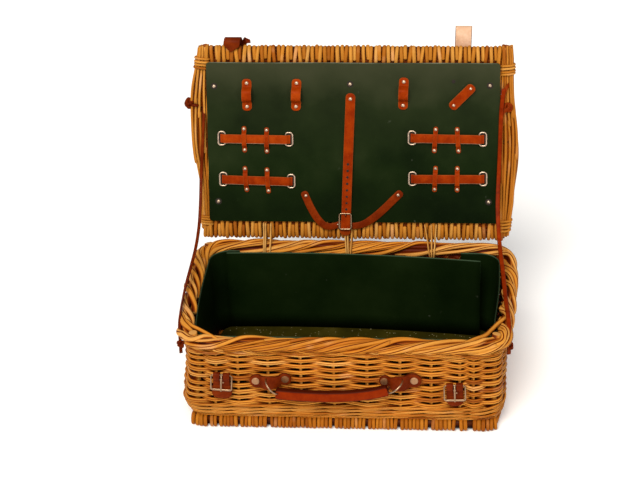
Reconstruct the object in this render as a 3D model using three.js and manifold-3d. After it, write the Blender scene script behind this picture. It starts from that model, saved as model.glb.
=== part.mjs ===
// Open wicker picnic hamper: woven base with a rolled border, lined inside, a flat
// woven lid standing open on cane lashings, leather fittings and metal hardware.
// Millimetres, +Z up, +X to the right, the front faces -Y.
// Origin: the middle of the base's underside.
import * as THREE from "three";
import { mergeVertices } from "three/addons/utils/BufferGeometryUtils.js";
import Module from "manifold-3d";

// ---------------------------------------------------------------- sizes
const GAP = 0.4; // clearance between neighbouring pieces

// base
const BOTTOM = { hw: 247, hd: 160, r: 36, h: 18 }; // square-work bottom panel
const WALL_IN = { hw: 247.5, hd: 147, r: 38 }; // inner face of the woven wall, about 14 thick
// outer face of the woven wall: height, half width, half depth, corner radius
const WALL = [
  { z: 18.4, hw: 252, hd: 158.5, r: 44 },
  { z: 26, hw: 258, hd: 161, r: 48 },
  { z: 42, hw: 262, hd: 161.4, r: 50 },
  { z: 100, hw: 262.5, hd: 161.4, r: 52 },
  { z: 146, hw: 262, hd: 161, r: 52 },
];
const RIM = { hw: 255, hd: 153.5, r: 50, a: 13.5, b: 13, z: 159.5 }; // border: centre line and half sizes
const LINER = { hw: 239, hd: 138, r: 31, t: 2, z0: 18.8, z1: 163, endRight: 181, endLeft: -196 };
const FLOOR = { hw: 235.5, hd: 134.5, r: 30, z0: 18.4, t: 2 };
const BACK_BOARD = { left: [-221, 130.6], right: [217, 111], t: 2.2, z0: 20.9, z1: 169.5 };
const SPREAD_BACK = 12; // how far the back border stands out behind its nominal line

// lid: hinge line on top of the back border, and how far it leans back
const HINGE_Y = 166;
const HINGE_Z = 184;
const LEAN = 13.8; // degrees past upright
const LID = { hw: 268, len: 335, t: 21, r: 10 };
const BOARD = { x0: -253, x1: 247, v0: 27, v1: 305, t: 3, r: 5 };
const BOARD_TOP = 0.3 + BOARD.t; // height of the board's face above the lid's inner plane
const LEATHER = 2; // light strap thickness

// cutlery loops: place, rivet span and turn
const LOOPS = [
  { x: -183.5, v: 249.5, turn: 0, hump: 9 },
  { x: -98.8, v: 249.8, turn: -2, hump: 9 },
  { x: 83.8, v: 252.8, turn: -2, hump: 9 },
  { x: 183.2, v: 247.7, turn: -44, hump: 0 },
];
const LOOP = { w: 16.5, half: 27.5, flat: 14, top: 8 };
// cross straps: the two slot eyes and the height up the lid
const CROSS = [
  { name: "ul", xa: -228.4, xb: -112.3, v: 173, turn: -0.6 },
  { name: "ll", xa: -227.3, xb: -109.6, v: 100.2, turn: -1.4 },
  { name: "ur", xa: 98.4, xb: 218.8, v: 175.5, turn: -0.8 },
  { name: "lr", xa: 99.3, xb: 219.9, v: 105.2, turn: 0.3 },
];
const CROSS_W = 15;
const EYE = { hw: 6, hh: 11.6, r: 5, wire: 1.2 };
// keepers over the cross straps: middle and lean
const KEEPERS = [
  { x: -189.4, v: 172, turn: 1 },
  { x: -150.7, v: 170, turn: 0 },
  { x: -188, v: 102, turn: 4 },
  { x: -150.1, v: 99.8, turn: 3.4 },
  { x: 137.7, v: 173, turn: -3.6 },
  { x: 176.5, v: 172.6, turn: 4 },
  { x: 138, v: 104.8, turn: -2.4 },
  { x: 175.9, v: 104.7, turn: 0 },
];
const KEEPER = { w: 7, half: 23, flat: 14, top: 10.5 };
// plate strap and its buckle
const PLATE = { xTop: -6, vTop: 253, xEnd: -16, vEnd: 12, w: 16.5 };
const PLATE_BUCKLE = { x: -16.4, v: 29.2, hw: 10.2, hh: 14, r: 4, wire: 1, h: 8.6 };

// handle
const FRONT_Y = -162.6; // plane of the front fittings
const TABS = [
  { name: "left", x: -118.4, z: 98.7, turn: 5, shift: 0 },
  { name: "right", x: 91, z: 101.1, turn: 1.8, shift: -6 },
];
const TAB = { half: 34, w: 23, waist: 10.6, t: 3, rise: 9.9, flat: 7.5, foot: 18 };
const RING_R = 15;
const RING_WIRE = 1.4;
const HANDLE_AXIS = { y: -174.3, z: 99.45 };
const RINGS = [
  { name: "left", x: -115.9, z: 96.2, dx: 0.66, dz: -0.7513 },
  { name: "right", x: 85, z: 100.5, dx: -0.78, dz: -0.6258 },
];
const RING_Y = -179.3;
// grip centre line: x, height; and its section
const GRIP = [
  { x: -111, z: 82.6 },
  { x: -85, z: 80.4 },
  { x: -55, z: 78.8 },
  { x: -22, z: 78.4 },
  { x: 12, z: 80.4 },
  { x: 45, z: 85.4 },
  { x: 75.4, z: 93.2 },
];
const GRIP_H = 16;
const GRIP_T = 9;

// front buckles
const BUCKLES = [
  { name: "left", x: -197, z: 108, turn: -4 },
  { name: "right", x: 177.8, z: 95.5, turn: 1.5 },
];
const BUCKLE = { hw: 16.8, len: 28, bar: 1.25, r: 4, strapW: 27, leather: 1.8, barH: 5.4, tail: 46 };

// closing straps on the lid
const CLOSING = { w: 28, t: 2.4, root: 262 };
// hinge lashings
const HINGE_X = [-152.5, -12, 133];
const HINGE_BAND = { w: 14, t: 2.4 };
// stays: side-view route, from the lid down to the border
const STAY = { w: 7, t: 2 };

// ---------------------------------------------------------------- colours
const MAT = {
  wicker: new THREE.MeshStandardMaterial({ color: 0xd38a35, roughness: 0.55, metalness: 0 }),
  green: new THREE.MeshStandardMaterial({ color: 0x1d2a1a, roughness: 0.5, metalness: 0 }),
  felt: new THREE.MeshStandardMaterial({ color: 0x2b2a12, roughness: 0.95, metalness: 0 }),
  tan: new THREE.MeshStandardMaterial({ color: 0xb4511a, roughness: 0.5, metalness: 0 }),
  brown: new THREE.MeshStandardMaterial({ color: 0x6b2413, roughness: 0.45, metalness: 0 }),
  metal: new THREE.MeshStandardMaterial({ color: 0xd9c7a4, roughness: 0.3, metalness: 1 }),
  cane: new THREE.MeshStandardMaterial({ color: 0xe0ac68, roughness: 0.5, metalness: 0 }),
};

// ---------------------------------------------------------------- solids
const wasm = await Module();
wasm.setup();
const rad = THREE.MathUtils.degToRad;

function solid(geometry) {
  const g = geometry.index ? geometry.toNonIndexed() : geometry.clone();
  g.deleteAttribute("normal");
  g.deleteAttribute("uv");
  const m = mergeVertices(g, 1e-4);
  return new wasm.Manifold(
    new wasm.Mesh({ numProp: 3, vertProperties: m.attributes.position.array, triVerts: new Uint32Array(m.index.array) }),
  );
}
function geometryOf(manifold) {
  const m = manifold.getMesh();
  const g = new THREE.BufferGeometry();
  g.setAttribute("position", new THREE.BufferAttribute(new Float32Array(m.vertProperties), 3));
  g.setIndex(new THREE.BufferAttribute(new Uint32Array(m.triVerts), 1));
  return g;
}
const cut = (a, ...bs) => geometryOf(bs.reduce((s, b) => s.subtract(solid(b)), solid(a)));
const common = (a, b) => geometryOf(solid(a).intersect(solid(b)));

function boxAt(x0, x1, y0, y1, z0, z1) {
  return new THREE.BoxGeometry(x1 - x0, y1 - y0, z1 - z0).translate((x0 + x1) / 2, (y0 + y1) / 2, (z0 + z1) / 2);
}

// counter-clockwise rounded rectangle, 4 corners of n steps
function roundRect(hw, hd, r, n = 6, cx = 0, cy = 0) {
  const out = [];
  const corners = [
    [hw - r, -hd + r, -90],
    [hw - r, hd - r, 0],
    [-hw + r, hd - r, 90],
    [-hw + r, -hd + r, 180],
  ];
  for (const [x, y, a0] of corners)
    for (let i = 0; i <= n; i++) {
      const a = rad(a0 + (90 * i) / n);
      out.push([cx + x + r * Math.cos(a), cy + y + r * Math.sin(a)]);
    }
  return out;
}

// closed skin over equal loops of points; wrap joins the last loop to the first, otherwise both ends are capped
function skin(loops, wrap) {
  const n = loops[0].length;
  const pos = loops.flat(2);
  const idx = [];
  const rows = wrap ? loops.length : loops.length - 1;
  for (let j = 0; j < rows; j++) {
    const a = j * n;
    const b = ((j + 1) % loops.length) * n;
    for (let i = 0; i < n; i++) {
      const k = (i + 1) % n;
      idx.push(a + i, a + k, b + k, a + i, b + k, b + i);
    }
  }
  if (!wrap) {
    const cap = (row, flip) => {
      const pts = loops[row];
      // flat fan from the middle of the section
      const c = [0, 1, 2].map((q) => pts.reduce((s, p) => s + p[q], 0) / n);
      const ci = pos.length / 3;
      pos.push(...c);
      for (let i = 0; i < n; i++) {
        const k = (i + 1) % n;
        if (flip) idx.push(ci, row * n + k, row * n + i);
        else idx.push(ci, row * n + i, row * n + k);
      }
    };
    cap(0, true);
    cap(loops.length - 1, false);
  }
  const g = new THREE.BufferGeometry();
  g.setAttribute("position", new THREE.BufferAttribute(new Float32Array(pos), 3));
  g.setIndex(idx);
  return g;
}

function plate(outline, z0, t) {
  const s = new THREE.Shape(outline.map(([x, y]) => new THREE.Vector2(x, y)));
  return new THREE.ExtrudeGeometry(s, { depth: t, bevelEnabled: false, steps: 1 }).translate(0, 0, z0);
}

// a side profile [s, h] thickened by t to its left, as a flat outline
function thicken(profile, t) {
  const left = profile.map((p, i) => {
    const a = profile[Math.max(0, i - 1)];
    const b = profile[Math.min(profile.length - 1, i + 1)];
    const l = Math.hypot(b[0] - a[0], b[1] - a[1]);
    return [p[0] - ((b[1] - a[1]) / l) * t, p[1] + ((b[0] - a[0]) / l) * t];
  });
  return [...profile, ...left.reverse()];
}
// strap whose side profile runs along y (s = y, h = z), of width w across x
function strapY(profile, t, w) {
  const g = plate(thicken(profile, t), 0, w).translate(0, 0, -w / 2);
  return g.applyMatrix4(new THREE.Matrix4().makeBasis(new THREE.Vector3(0, 1, 0), new THREE.Vector3(0, 0, 1), new THREE.Vector3(1, 0, 0)));
}
// strap whose side profile runs along x
function strapX(profile, t, w) {
  const g = plate(thicken(profile, t), 0, w).translate(0, 0, -w / 2);
  return g.applyMatrix4(new THREE.Matrix4().makeBasis(new THREE.Vector3(1, 0, 0), new THREE.Vector3(0, 0, 1), new THREE.Vector3(0, -1, 0)));
}
// hump over s = -top..top at height h1, flat feet at h0 from +-flat outwards
const hump = (half, flat, top, h0, h1) => [
  [-half, h0],
  [-flat, h0],
  [-(flat + top) / 2 - 0.4, h0 + (h1 - h0) * 0.45],
  [-top, h0 + (h1 - h0) * 0.86],
  [-top * 0.55, h1],
  [top * 0.55, h1],
  [top, h0 + (h1 - h0) * 0.86],
  [(flat + top) / 2 + 0.4, h0 + (h1 - h0) * 0.45],
  [flat, h0],
  [half, h0],
];

// round wire round a closed flat path
function wireLoop(path, wire, sides = 8) {
  const n = path.length;
  const loops = path.map((p, i) => {
    const a = path[(i + n - 1) % n];
    const b = path[(i + 1) % n];
    const l = Math.hypot(b[0] - a[0], b[1] - a[1]);
    const nx = (b[1] - a[1]) / l;
    const ny = -(b[0] - a[0]) / l;
    const out = [];
    for (let k = 0; k < sides; k++) {
      const q = (2 * Math.PI * k) / sides;
      out.push([p[0] + nx * wire * Math.cos(q), p[1] + ny * wire * Math.cos(q), -wire * Math.sin(q)]);
    }
    return out;
  });
  return skin(loops, true);
}

// flat strap along a space route; each row is a point and the direction of its width
function ribbon(route, w, t) {
  const pts = route.map((r) => new THREE.Vector3(...r.p));
  const loops = pts.map((p, i) => {
    const tan = pts[Math.min(pts.length - 1, i + 1)].clone().sub(pts[Math.max(0, i - 1)]).normalize();
    const side = new THREE.Vector3(...route[i].side);
    side.addScaledVector(tan, -side.dot(tan)).normalize();
    const up = new THREE.Vector3().crossVectors(tan, side);
    return [
      [-1, -1],
      [1, -1],
      [1, 1],
      [-1, 1],
    ].map(([a, b]) => p.clone().addScaledVector(side, (a * w) / 2).addScaledVector(up, (b * t) / 2).toArray());
  });
  return skin(loops, false);
}

const root = new THREE.Group();
function add(group, name, geometry, material) {
  const mesh = new THREE.Mesh(geometry, material);
  mesh.name = name;
  group.add(mesh);
  return mesh;
}
function placed(group, x, y, z, turn) {
  const g = new THREE.Group();
  g.position.set(x, y, z);
  g.rotation.z = rad(turn);
  group.add(g);
  return g;
}

// the woven top has spread with use: the back leans out, the ends widen towards it, the lower left end bulges
const clamp01 = (t) => Math.min(1, Math.max(0, t));
const ease = (t) => clamp01(t) * clamp01(t) * (3 - 2 * clamp01(t));
function spread(g, endFront, endBack, back) {
  const p = g.attributes.position;
  for (let i = 0; i < p.count; i++) {
    const x = p.getX(i), y = p.getY(i), z = p.getZ(i);
    const f = clamp01((z - 18) / 142);
    const end = (endFront + (endBack - endFront) * ease((y + 130) / 190)) * f * clamp01((Math.abs(x) - 165) / 75);
    const low = x < 0 ? 8 * Math.exp(-(((z - 45) / 36) ** 2)) * clamp01((-x - 165) / 75) : 0;
    p.setXYZ(i, x + Math.sign(x) * end - low, y > 0 ? y + (back * f * y) / RIM.hd : y, z);
  }
  p.needsUpdate = true;
  g.computeVertexNormals();
  return g;
}

// ---------------------------------------------------------------- base
add(root, "base_bottom", plate(roundRect(BOTTOM.hw, BOTTOM.hd, BOTTOM.r, 6), 0, BOTTOM.h), MAT.wicker);

{
  const outer = WALL.map((s) => roundRect(s.hw, s.hd, s.r).map(([x, y]) => [x, y, s.z]));
  const inner = [WALL[WALL.length - 1], WALL[0]].map((s) => roundRect(WALL_IN.hw, WALL_IN.hd, WALL_IN.r).map(([x, y]) => [x, y, s.z]));
  const wall = skin([...outer, ...inner], true);
  // room for the hinge lashings under the back border
  const notches = HINGE_X.map((x) => boxAt(x - 8.5, x + 8.5, 130, 180, 141, 150));
  add(root, "base_wall", spread(cut(wall, ...notches), -2, 8.5, SPREAD_BACK), MAT.wicker);
}
{
  const sides = 12;
  const loops = [];
  for (let k = 0; k < sides; k++) {
    const q = (2 * Math.PI * k) / sides;
    const o = RIM.a * Math.cos(q);
    loops.push(roundRect(RIM.hw + o, RIM.hd + o, RIM.r + o, 7).map(([x, y]) => [x, y, RIM.z + RIM.b * Math.sin(q)]));
  }
  add(root, "base_rim", spread(skin(loops, true), -2, 8.5, SPREAD_BACK), MAT.wicker);
}

// ---------------------------------------------------------------- lining
{
  // open strip: from the back right corner's end round the right, front and left to behind the back board
  const strip = (hw, hd, r) => {
    const p = roundRect(hw, hd, r, 6); // starts at the front right corner
    const n = 7;
    const fr = p.slice(0, n), br = p.slice(n, 2 * n), bl = p.slice(2 * n, 3 * n), fl = p.slice(3 * n);
    return [[LINER.endRight, hd], ...br.slice().reverse(), ...fr.slice().reverse(), ...fl.slice().reverse(), ...bl.slice().reverse(), [LINER.endLeft, hd]];
  };
  const out = strip(LINER.hw, LINER.hd, LINER.r);
  const inn = strip(LINER.hw - LINER.t, LINER.hd - LINER.t, LINER.r - LINER.t);
  add(root, "liner_wrap", spread(plate([...out, ...inn.reverse()], LINER.z0, LINER.z1 - LINER.z0), -1, 10, SPREAD_BACK), MAT.green);
}
{
  const [ax, ay] = BACK_BOARD.left;
  const [bx, by] = BACK_BOARD.right;
  const l = Math.hypot(bx - ax, by - ay);
  const nx = (-(by - ay) / l) * (BACK_BOARD.t / 2);
  const ny = ((bx - ax) / l) * (BACK_BOARD.t / 2);
  const outline = [
    [ax - nx, ay - ny],
    [bx - nx, by - ny],
    [bx + nx, by + ny],
    [ax + nx, ay + ny],
  ];
  add(root, "liner_back", plate(outline, BACK_BOARD.z0, BACK_BOARD.z1 - BACK_BOARD.z0), MAT.green);
}
add(root, "liner_floor", plate(roundRect(FLOOR.hw, FLOOR.hd, FLOOR.r, 5), FLOOR.z0, FLOOR.t), MAT.felt);

// ---------------------------------------------------------------- lid
// lid frame: x across, y up the lid from the hinge line, z out of its inner face
const lid = new THREE.Group();
lid.position.set(0, HINGE_Y, HINGE_Z);
lid.rotation.x = rad(90 - LEAN);
root.add(lid);

{
  const slab = plate(roundRect(LID.hw, LID.len / 2, LID.r, 4, 0, LID.len / 2), -LID.t, LID.t);
  const slots = HINGE_X.map((x) => boxAt(x - 8, x + 8, 18.6, 26.2, -LID.t - 1, 1));
  add(lid, "lid_wicker", cut(slab, ...slots), MAT.wicker);
}
{
  const cx = (BOARD.x0 + BOARD.x1) / 2;
  const cv = (BOARD.v0 + BOARD.v1) / 2;
  add(lid, "lid_board", plate(roundRect((BOARD.x1 - BOARD.x0) / 2, (BOARD.v1 - BOARD.v0) / 2, BOARD.r, 3, cx, cv), 0.3, BOARD.t), MAT.green);
}
const ON_BOARD = BOARD_TOP + 0.35;
LOOPS.forEach((l, i) => {
  const g = placed(lid, l.x, l.v, 0, l.turn);
  const lift = l.hump || 5;
  const profile = l.hump
    ? hump(LOOP.half, LOOP.flat, LOOP.top, ON_BOARD, ON_BOARD + lift)
    : [
        [-LOOP.half, ON_BOARD],
        [-10, ON_BOARD],
        [4, ON_BOARD + 1.4],
        [18, ON_BOARD + 3.6],
        [LOOP.half, ON_BOARD + 4.6],
      ];
  add(g, `cutlery_loop_${i + 1}`, strapY(profile, LEATHER, LOOP.w), MAT.tan);
});
let eye = 0;
for (const c of CROSS) {
  const half = (c.xb - c.xa) / 2;
  const g = placed(lid, (c.xa + c.xb) / 2, c.v, 0, c.turn);
  for (const side of [-1, 1]) {
    eye += 1;
    const e = placed(g, side * half, 0, ON_BOARD + EYE.wire, 0);
    add(e, `strap_eye_${eye}`, wireLoop(roundRect(EYE.hw, EYE.hh, EYE.r, 3), EYE.wire, 6), MAT.metal);
  }
  const over = ON_BOARD + 2 * EYE.wire + 0.35; // the strap's underside where it climbs out of an eye
  const profile = [
    [-half - 2.4, ON_BOARD],
    [-half + 1.4, ON_BOARD + 1.1],
    [-half + 3.6, over + 0.9],
    [-half + 6.5, over + 0.9],
    [-half + 12, over - 0.2],
    [0, over + 0.4],
    [half - 12, over - 0.2],
    [half - 6.5, over + 0.9],
    [half - 3.6, over + 0.9],
    [half - 1.4, ON_BOARD + 1.1],
    [half + 2.4, ON_BOARD],
  ];
  add(g, `cross_strap_${c.name}`, strapX(profile, LEATHER * 0.8, CROSS_W), MAT.tan);
}
KEEPERS.forEach((k, i) => {
  const g = placed(lid, k.x, k.v, 0, k.turn);
  add(g, `keeper_${i + 1}`, strapY(hump(KEEPER.half, KEEPER.flat, KEEPER.top, ON_BOARD, ON_BOARD + 5.3), LEATHER * 0.8, KEEPER.w), MAT.tan);
});
{
  const len = Math.hypot(PLATE.xTop - PLATE.xEnd, PLATE.vTop - PLATE.vEnd);
  const g = placed(lid, PLATE.xEnd, PLATE.vEnd, 0, -THREE.MathUtils.radToDeg(Math.atan2(PLATE.xTop - PLATE.xEnd, PLATE.vTop - PLATE.vEnd)));
  // side profile up from the tip: under both bars of the buckle, then hanging a little off the board
  const profile = [
    [0, 5.8],
    [32, 5.8],
    [44, 5.9],
    [70, 7.2],
    [120, 8],
    [170, 6.4],
    [205, ON_BOARD + 0.6],
    [len - 22, ON_BOARD],
    [len, ON_BOARD],
  ];
  add(g, "plate_strap", strapY(profile, 1.4, PLATE.w), MAT.tan);
}
{
  const b = PLATE_BUCKLE;
  const g = placed(lid, b.x, b.v, b.h, 0);
  const frame = wireLoop(roundRect(b.hw, b.hh, b.r, 4), b.wire);
  // tip of the tongue, bent over the top bar and down into its hole
  const tip = boxAt(-0.9, 0.9, b.hh - 4.6, b.hh - 0.4, -0.7, 0.6);
  add(g, "plate_buckle", geometryOf(solid(frame).add(solid(tip))), MAT.metal);
  const chape = plate(roundRect(9.4, 13.4, 6, 5, b.x, 16.2), ON_BOARD, 1.8);
  add(lid, "plate_chape", chape, MAT.brown);
}
// ties from the board's rivets down to the buckle: a curved flat ribbon, rows x, v along its middle
const TIES = [
  {
    name: "left",
    w: 13,
    rows: [
      { x: -87.5, v: 79 },
      { x: -82, v: 66 },
      { x: -74, v: 48 },
      { x: -63, v: 31 },
      { x: -51, v: 20.5 },
      { x: -39, v: 19.5 },
      { x: -28.4, v: 23 },
    ],
  },
  {
    name: "right",
    w: 13,
    rows: [
      { x: 79, v: 80 },
      { x: 66, v: 67 },
      { x: 48, v: 49 },
      { x: 30, v: 33.5 },
      { x: 13, v: 23.5 },
      { x: -4.8, v: 20 },
    ],
  },
];
for (const t of TIES) {
  const left = [];
  const right = [];
  t.rows.forEach((p, i) => {
    const a = t.rows[Math.max(0, i - 1)];
    const b = t.rows[Math.min(t.rows.length - 1, i + 1)];
    const l = Math.hypot(b.x - a.x, b.v - a.v);
    const w = (i < t.rows.length - 2 ? t.w : t.w * 0.8) / 2;
    const nx = (-(b.v - a.v) / l) * w;
    const nv = ((b.x - a.x) / l) * w;
    left.push([p.x + nx, p.v + nv]);
    right.push([p.x - nx, p.v - nv]);
  });
  add(lid, `plate_tie_${t.name}`, plate([...right, ...left.reverse()], ON_BOARD, LEATHER * 0.9), MAT.brown);
}
{
  // closing straps: riveted outside, one folded over the front edge, one standing and bent back
  const back = -LID.t - 0.5;
  const left = [
    [CLOSING.root, back],
    [336, back],
    [341.6, back + 2.6],
    [345.4, back + 8],
    [346.4, back + 15],
    [344.4, back + 20],
    [340.6, 0.2],
    [336, 0.75],
    [322.5, 0.75],
  ];
  add(placed(lid, -206.4, 0, 0, 0), "closing_strap_left", strapY(left.slice().reverse(), CLOSING.t, CLOSING.w), MAT.brown);
  const right = [
    [CLOSING.root, back],
    [334, back],
    [350, back + 0.6],
    [358, back - 0.6],
    [361.4, back - 3.2],
    [361.4, back - 7],
    [357, back - 10.4],
    [344, back - 13.6],
    [322, back - 16],
  ];
  add(placed(lid, 183, 0, 0, 0), "closing_strap_right", strapY(right.slice().reverse(), CLOSING.t * 0.9, CLOSING.w), MAT.brown);
}

// ---------------------------------------------------------------- hinge lashings
{
  const v = (d, h) => [HINGE_Y + d * Math.sin(rad(LEAN)) - h * Math.cos(rad(LEAN)), HINGE_Z + d * Math.cos(rad(LEAN)) + h * Math.sin(rad(LEAN))];
  // inner outline of the band, counter-clockwise in (y, z): under the border, up behind, through the lid's slot, down in front
  const e = (deg, o) => [RIM.hd + SPREAD_BACK + (RIM.a + 1.1 + o) * Math.cos(rad(deg)), RIM.z + (RIM.b + o) * Math.sin(rad(deg))];
  const inner = [
    e(180, 0.9), e(215, 0.9), e(245, 0.9), e(270, 0.9), e(295, 0.9), e(325, 0.9), e(352, 1.2),
    v(-1.3, -LID.t + 0.4), v(1.2, -LID.t - 1.1), v(20.8, -LID.t - 0.9), v(20.8, 0.5), v(0.6, 0.5), e(112, 4.5), e(140, 1.2),
  ];
  const n = inner.length;
  const outer = inner.map((p, i) => {
    const a = inner[(i + n - 1) % n];
    const b = inner[(i + 1) % n];
    const l = Math.hypot(b[0] - a[0], b[1] - a[1]);
    return [p[0] + ((b[1] - a[1]) / l) * HINGE_BAND.t, p[1] - ((b[0] - a[0]) / l) * HINGE_BAND.t];
  });
  HINGE_X.forEach((x, i) => {
    const shape = new THREE.Shape(outer.map(([y, z]) => new THREE.Vector2(y, z)));
    shape.holes.push(new THREE.Path(inner.map(([y, z]) => new THREE.Vector2(y, z))));
    const g = new THREE.ExtrudeGeometry(shape, { depth: HINGE_BAND.w, bevelEnabled: false });
    g.translate(0, 0, -HINGE_BAND.w / 2);
    g.applyMatrix4(new THREE.Matrix4().makeBasis(new THREE.Vector3(0, 1, 0), new THREE.Vector3(0, 0, 1), new THREE.Vector3(1, 0, 0)));
    g.translate(x, 0, 0);
    add(root, `hinge_loop_${i + 1}`, g, MAT.cane);
  });
}

// ---------------------------------------------------------------- stays
{
  const on = (x, v, h) => [x, HINGE_Y + v * Math.sin(rad(LEAN)) - h * Math.cos(rad(LEAN)), HINGE_Z + v * Math.cos(rad(LEAN)) + h * Math.sin(rad(LEAN))];
  const X = [1, 0, 0];
  // route rows: point, direction of the strap's width; the lid's part lies on its edge, the rest hangs slack to the border
  const left = [
    { p: on(-259.4, 222, 1.6), side: X },
    { p: on(-260.4, 190, 1.8), side: X },
    { p: on(-263, 150, 2.6), side: X },
    { p: on(-265.6, 110, 5), side: X },
    { p: [-265.4, 158, 252], side: X },
    { p: [-266.2, 132, 221], side: X },
    { p: [-268.2, 96, 199], side: X },
    { p: [-271.6, 52, 187], side: X },
    { p: [-273.4, 4, 182], side: [0.9, 0, 0.4] },
    { p: [-273.2, -44, 178], side: [0.5, 0, 0.85] },
    { p: [-271.6, -84, 168], side: [0, 0, 1] },
    { p: [-269.8, -106, 154], side: [0, 0.3, 1] },
    { p: [-266.4, -116, 143.5], side: [0, 0.6, 1] },
  ];
  const right = [
    { p: on(253.4, 262, 4.9), side: X },
    { p: on(249.6, 225, 4.9), side: X },
    { p: on(248.7, 190, 4.9), side: X },
    { p: on(247.8, 150, 5), side: X },
    { p: on(246.6, 110, 6.5), side: X },
    { p: [245.3, 158, 252], side: X },
    { p: [247, 132, 221], side: X },
    { p: [250, 96, 199], side: X },
    { p: [254.1, 52, 187], side: X },
    { p: [256.8, 4, 181], side: X },
    { p: [259.6, -44, 177], side: X },
    { p: [262.6, -84, 174.8], side: X },
    { p: [263.6, -100, 174.2], side: X },
  ];
  add(root, "stay_left", ribbon(left, STAY.w, STAY.t), MAT.brown);
  add(root, "stay_right", ribbon(right, STAY.w, STAY.t), MAT.tan);
}

// ---------------------------------------------------------------- front fittings
// front frame: x across, y up, z out of the front wall
const front = new THREE.Group();
front.position.set(0, FRONT_Y, 0);
front.rotation.x = rad(90);
root.add(front);

for (const t of TABS) {
  const g = placed(front, t.x, t.z, 0, t.turn);
  const slide = (x) => x + t.shift * (1 - Math.abs(x) / TAB.half); // the hump sits nearer one rivet
  const side = hump(TAB.half, TAB.foot, TAB.flat + 2.5, 0.5, TAB.rise).map(([s, h]) => [slide(s), h]);
  const band = strapX(side, TAB.t, TAB.w);
  const k = TAB.w / 2;
  const q = TAB.waist / 2;
  const outline = [];
  // waisted outline with round ends, one quarter mirrored
  const quarter = [
    { x: 0, y: q },
    { x: 12, y: q },
    { x: 16, y: q + 2 },
    { x: 20, y: k - 1.2 },
    { x: 25, y: k },
    { x: 29.5, y: k - 2 },
    { x: 32.8, y: k - 6 },
    { x: 34, y: 0 },
  ];
  for (const p of quarter) outline.push([slide(p.x), -p.y]);
  for (const p of quarter.slice(0, -1).reverse()) outline.push([slide(p.x), p.y]);
  for (const p of quarter.slice(1)) outline.push([slide(-p.x), p.y]);
  for (const p of quarter.slice(1, -1).reverse()) outline.push([slide(-p.x), -p.y]);
  add(g, `handle_tab_${t.name}`, common(band, plate(outline, -2, 30)), MAT.brown);
}
// rings stand in a plane square to the wall that leans inwards and down
const ringAt = (r) => {
  const c = [];
  for (let i = 0; i < 28; i++) {
    const q = (2 * Math.PI * i) / 28;
    c.push([RING_R * Math.cos(q), RING_R * Math.sin(q)]);
  }
  return c;
};
function ringGeometry(r, wire, sides) {
  const g = wireLoop(ringAt(r), wire, sides);
  const d = new THREE.Vector3(r.dx, 0, r.dz); // down and inwards
  const out = new THREE.Vector3(0, 1, 0);
  g.applyMatrix4(new THREE.Matrix4().makeBasis(d, out, new THREE.Vector3().crossVectors(d, out)));
  return g.translate(r.x, RING_Y, r.z);
}
for (const r of RINGS) add(root, `handle_ring_${r.name}`, ringGeometry(r, RING_WIRE, 8), MAT.metal);
{
  const pts = new THREE.CatmullRomCurve3(GRIP.map((p) => new THREE.Vector3(p.x, RING_Y, p.z)), false, "centripetal").getPoints(22);
  const section = roundRect(GRIP_T / 2, GRIP_H / 2, 3.2, 2);
  const loops = pts.map((p, i) => {
    const tan = pts[Math.min(pts.length - 1, i + 1)].clone().sub(pts[Math.max(0, i - 1)]).normalize();
    const up = new THREE.Vector3(-tan.z, 0, tan.x);
    return section.map(([a, b]) => [p.x + up.x * b, p.y + a, p.z + up.z * b]);
  });
  const grip = skin(loops, false);
  add(root, "handle_grip", cut(grip, ...RINGS.map((r) => ringGeometry(r, RING_WIRE + GAP, 8))), MAT.brown);
}
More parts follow.
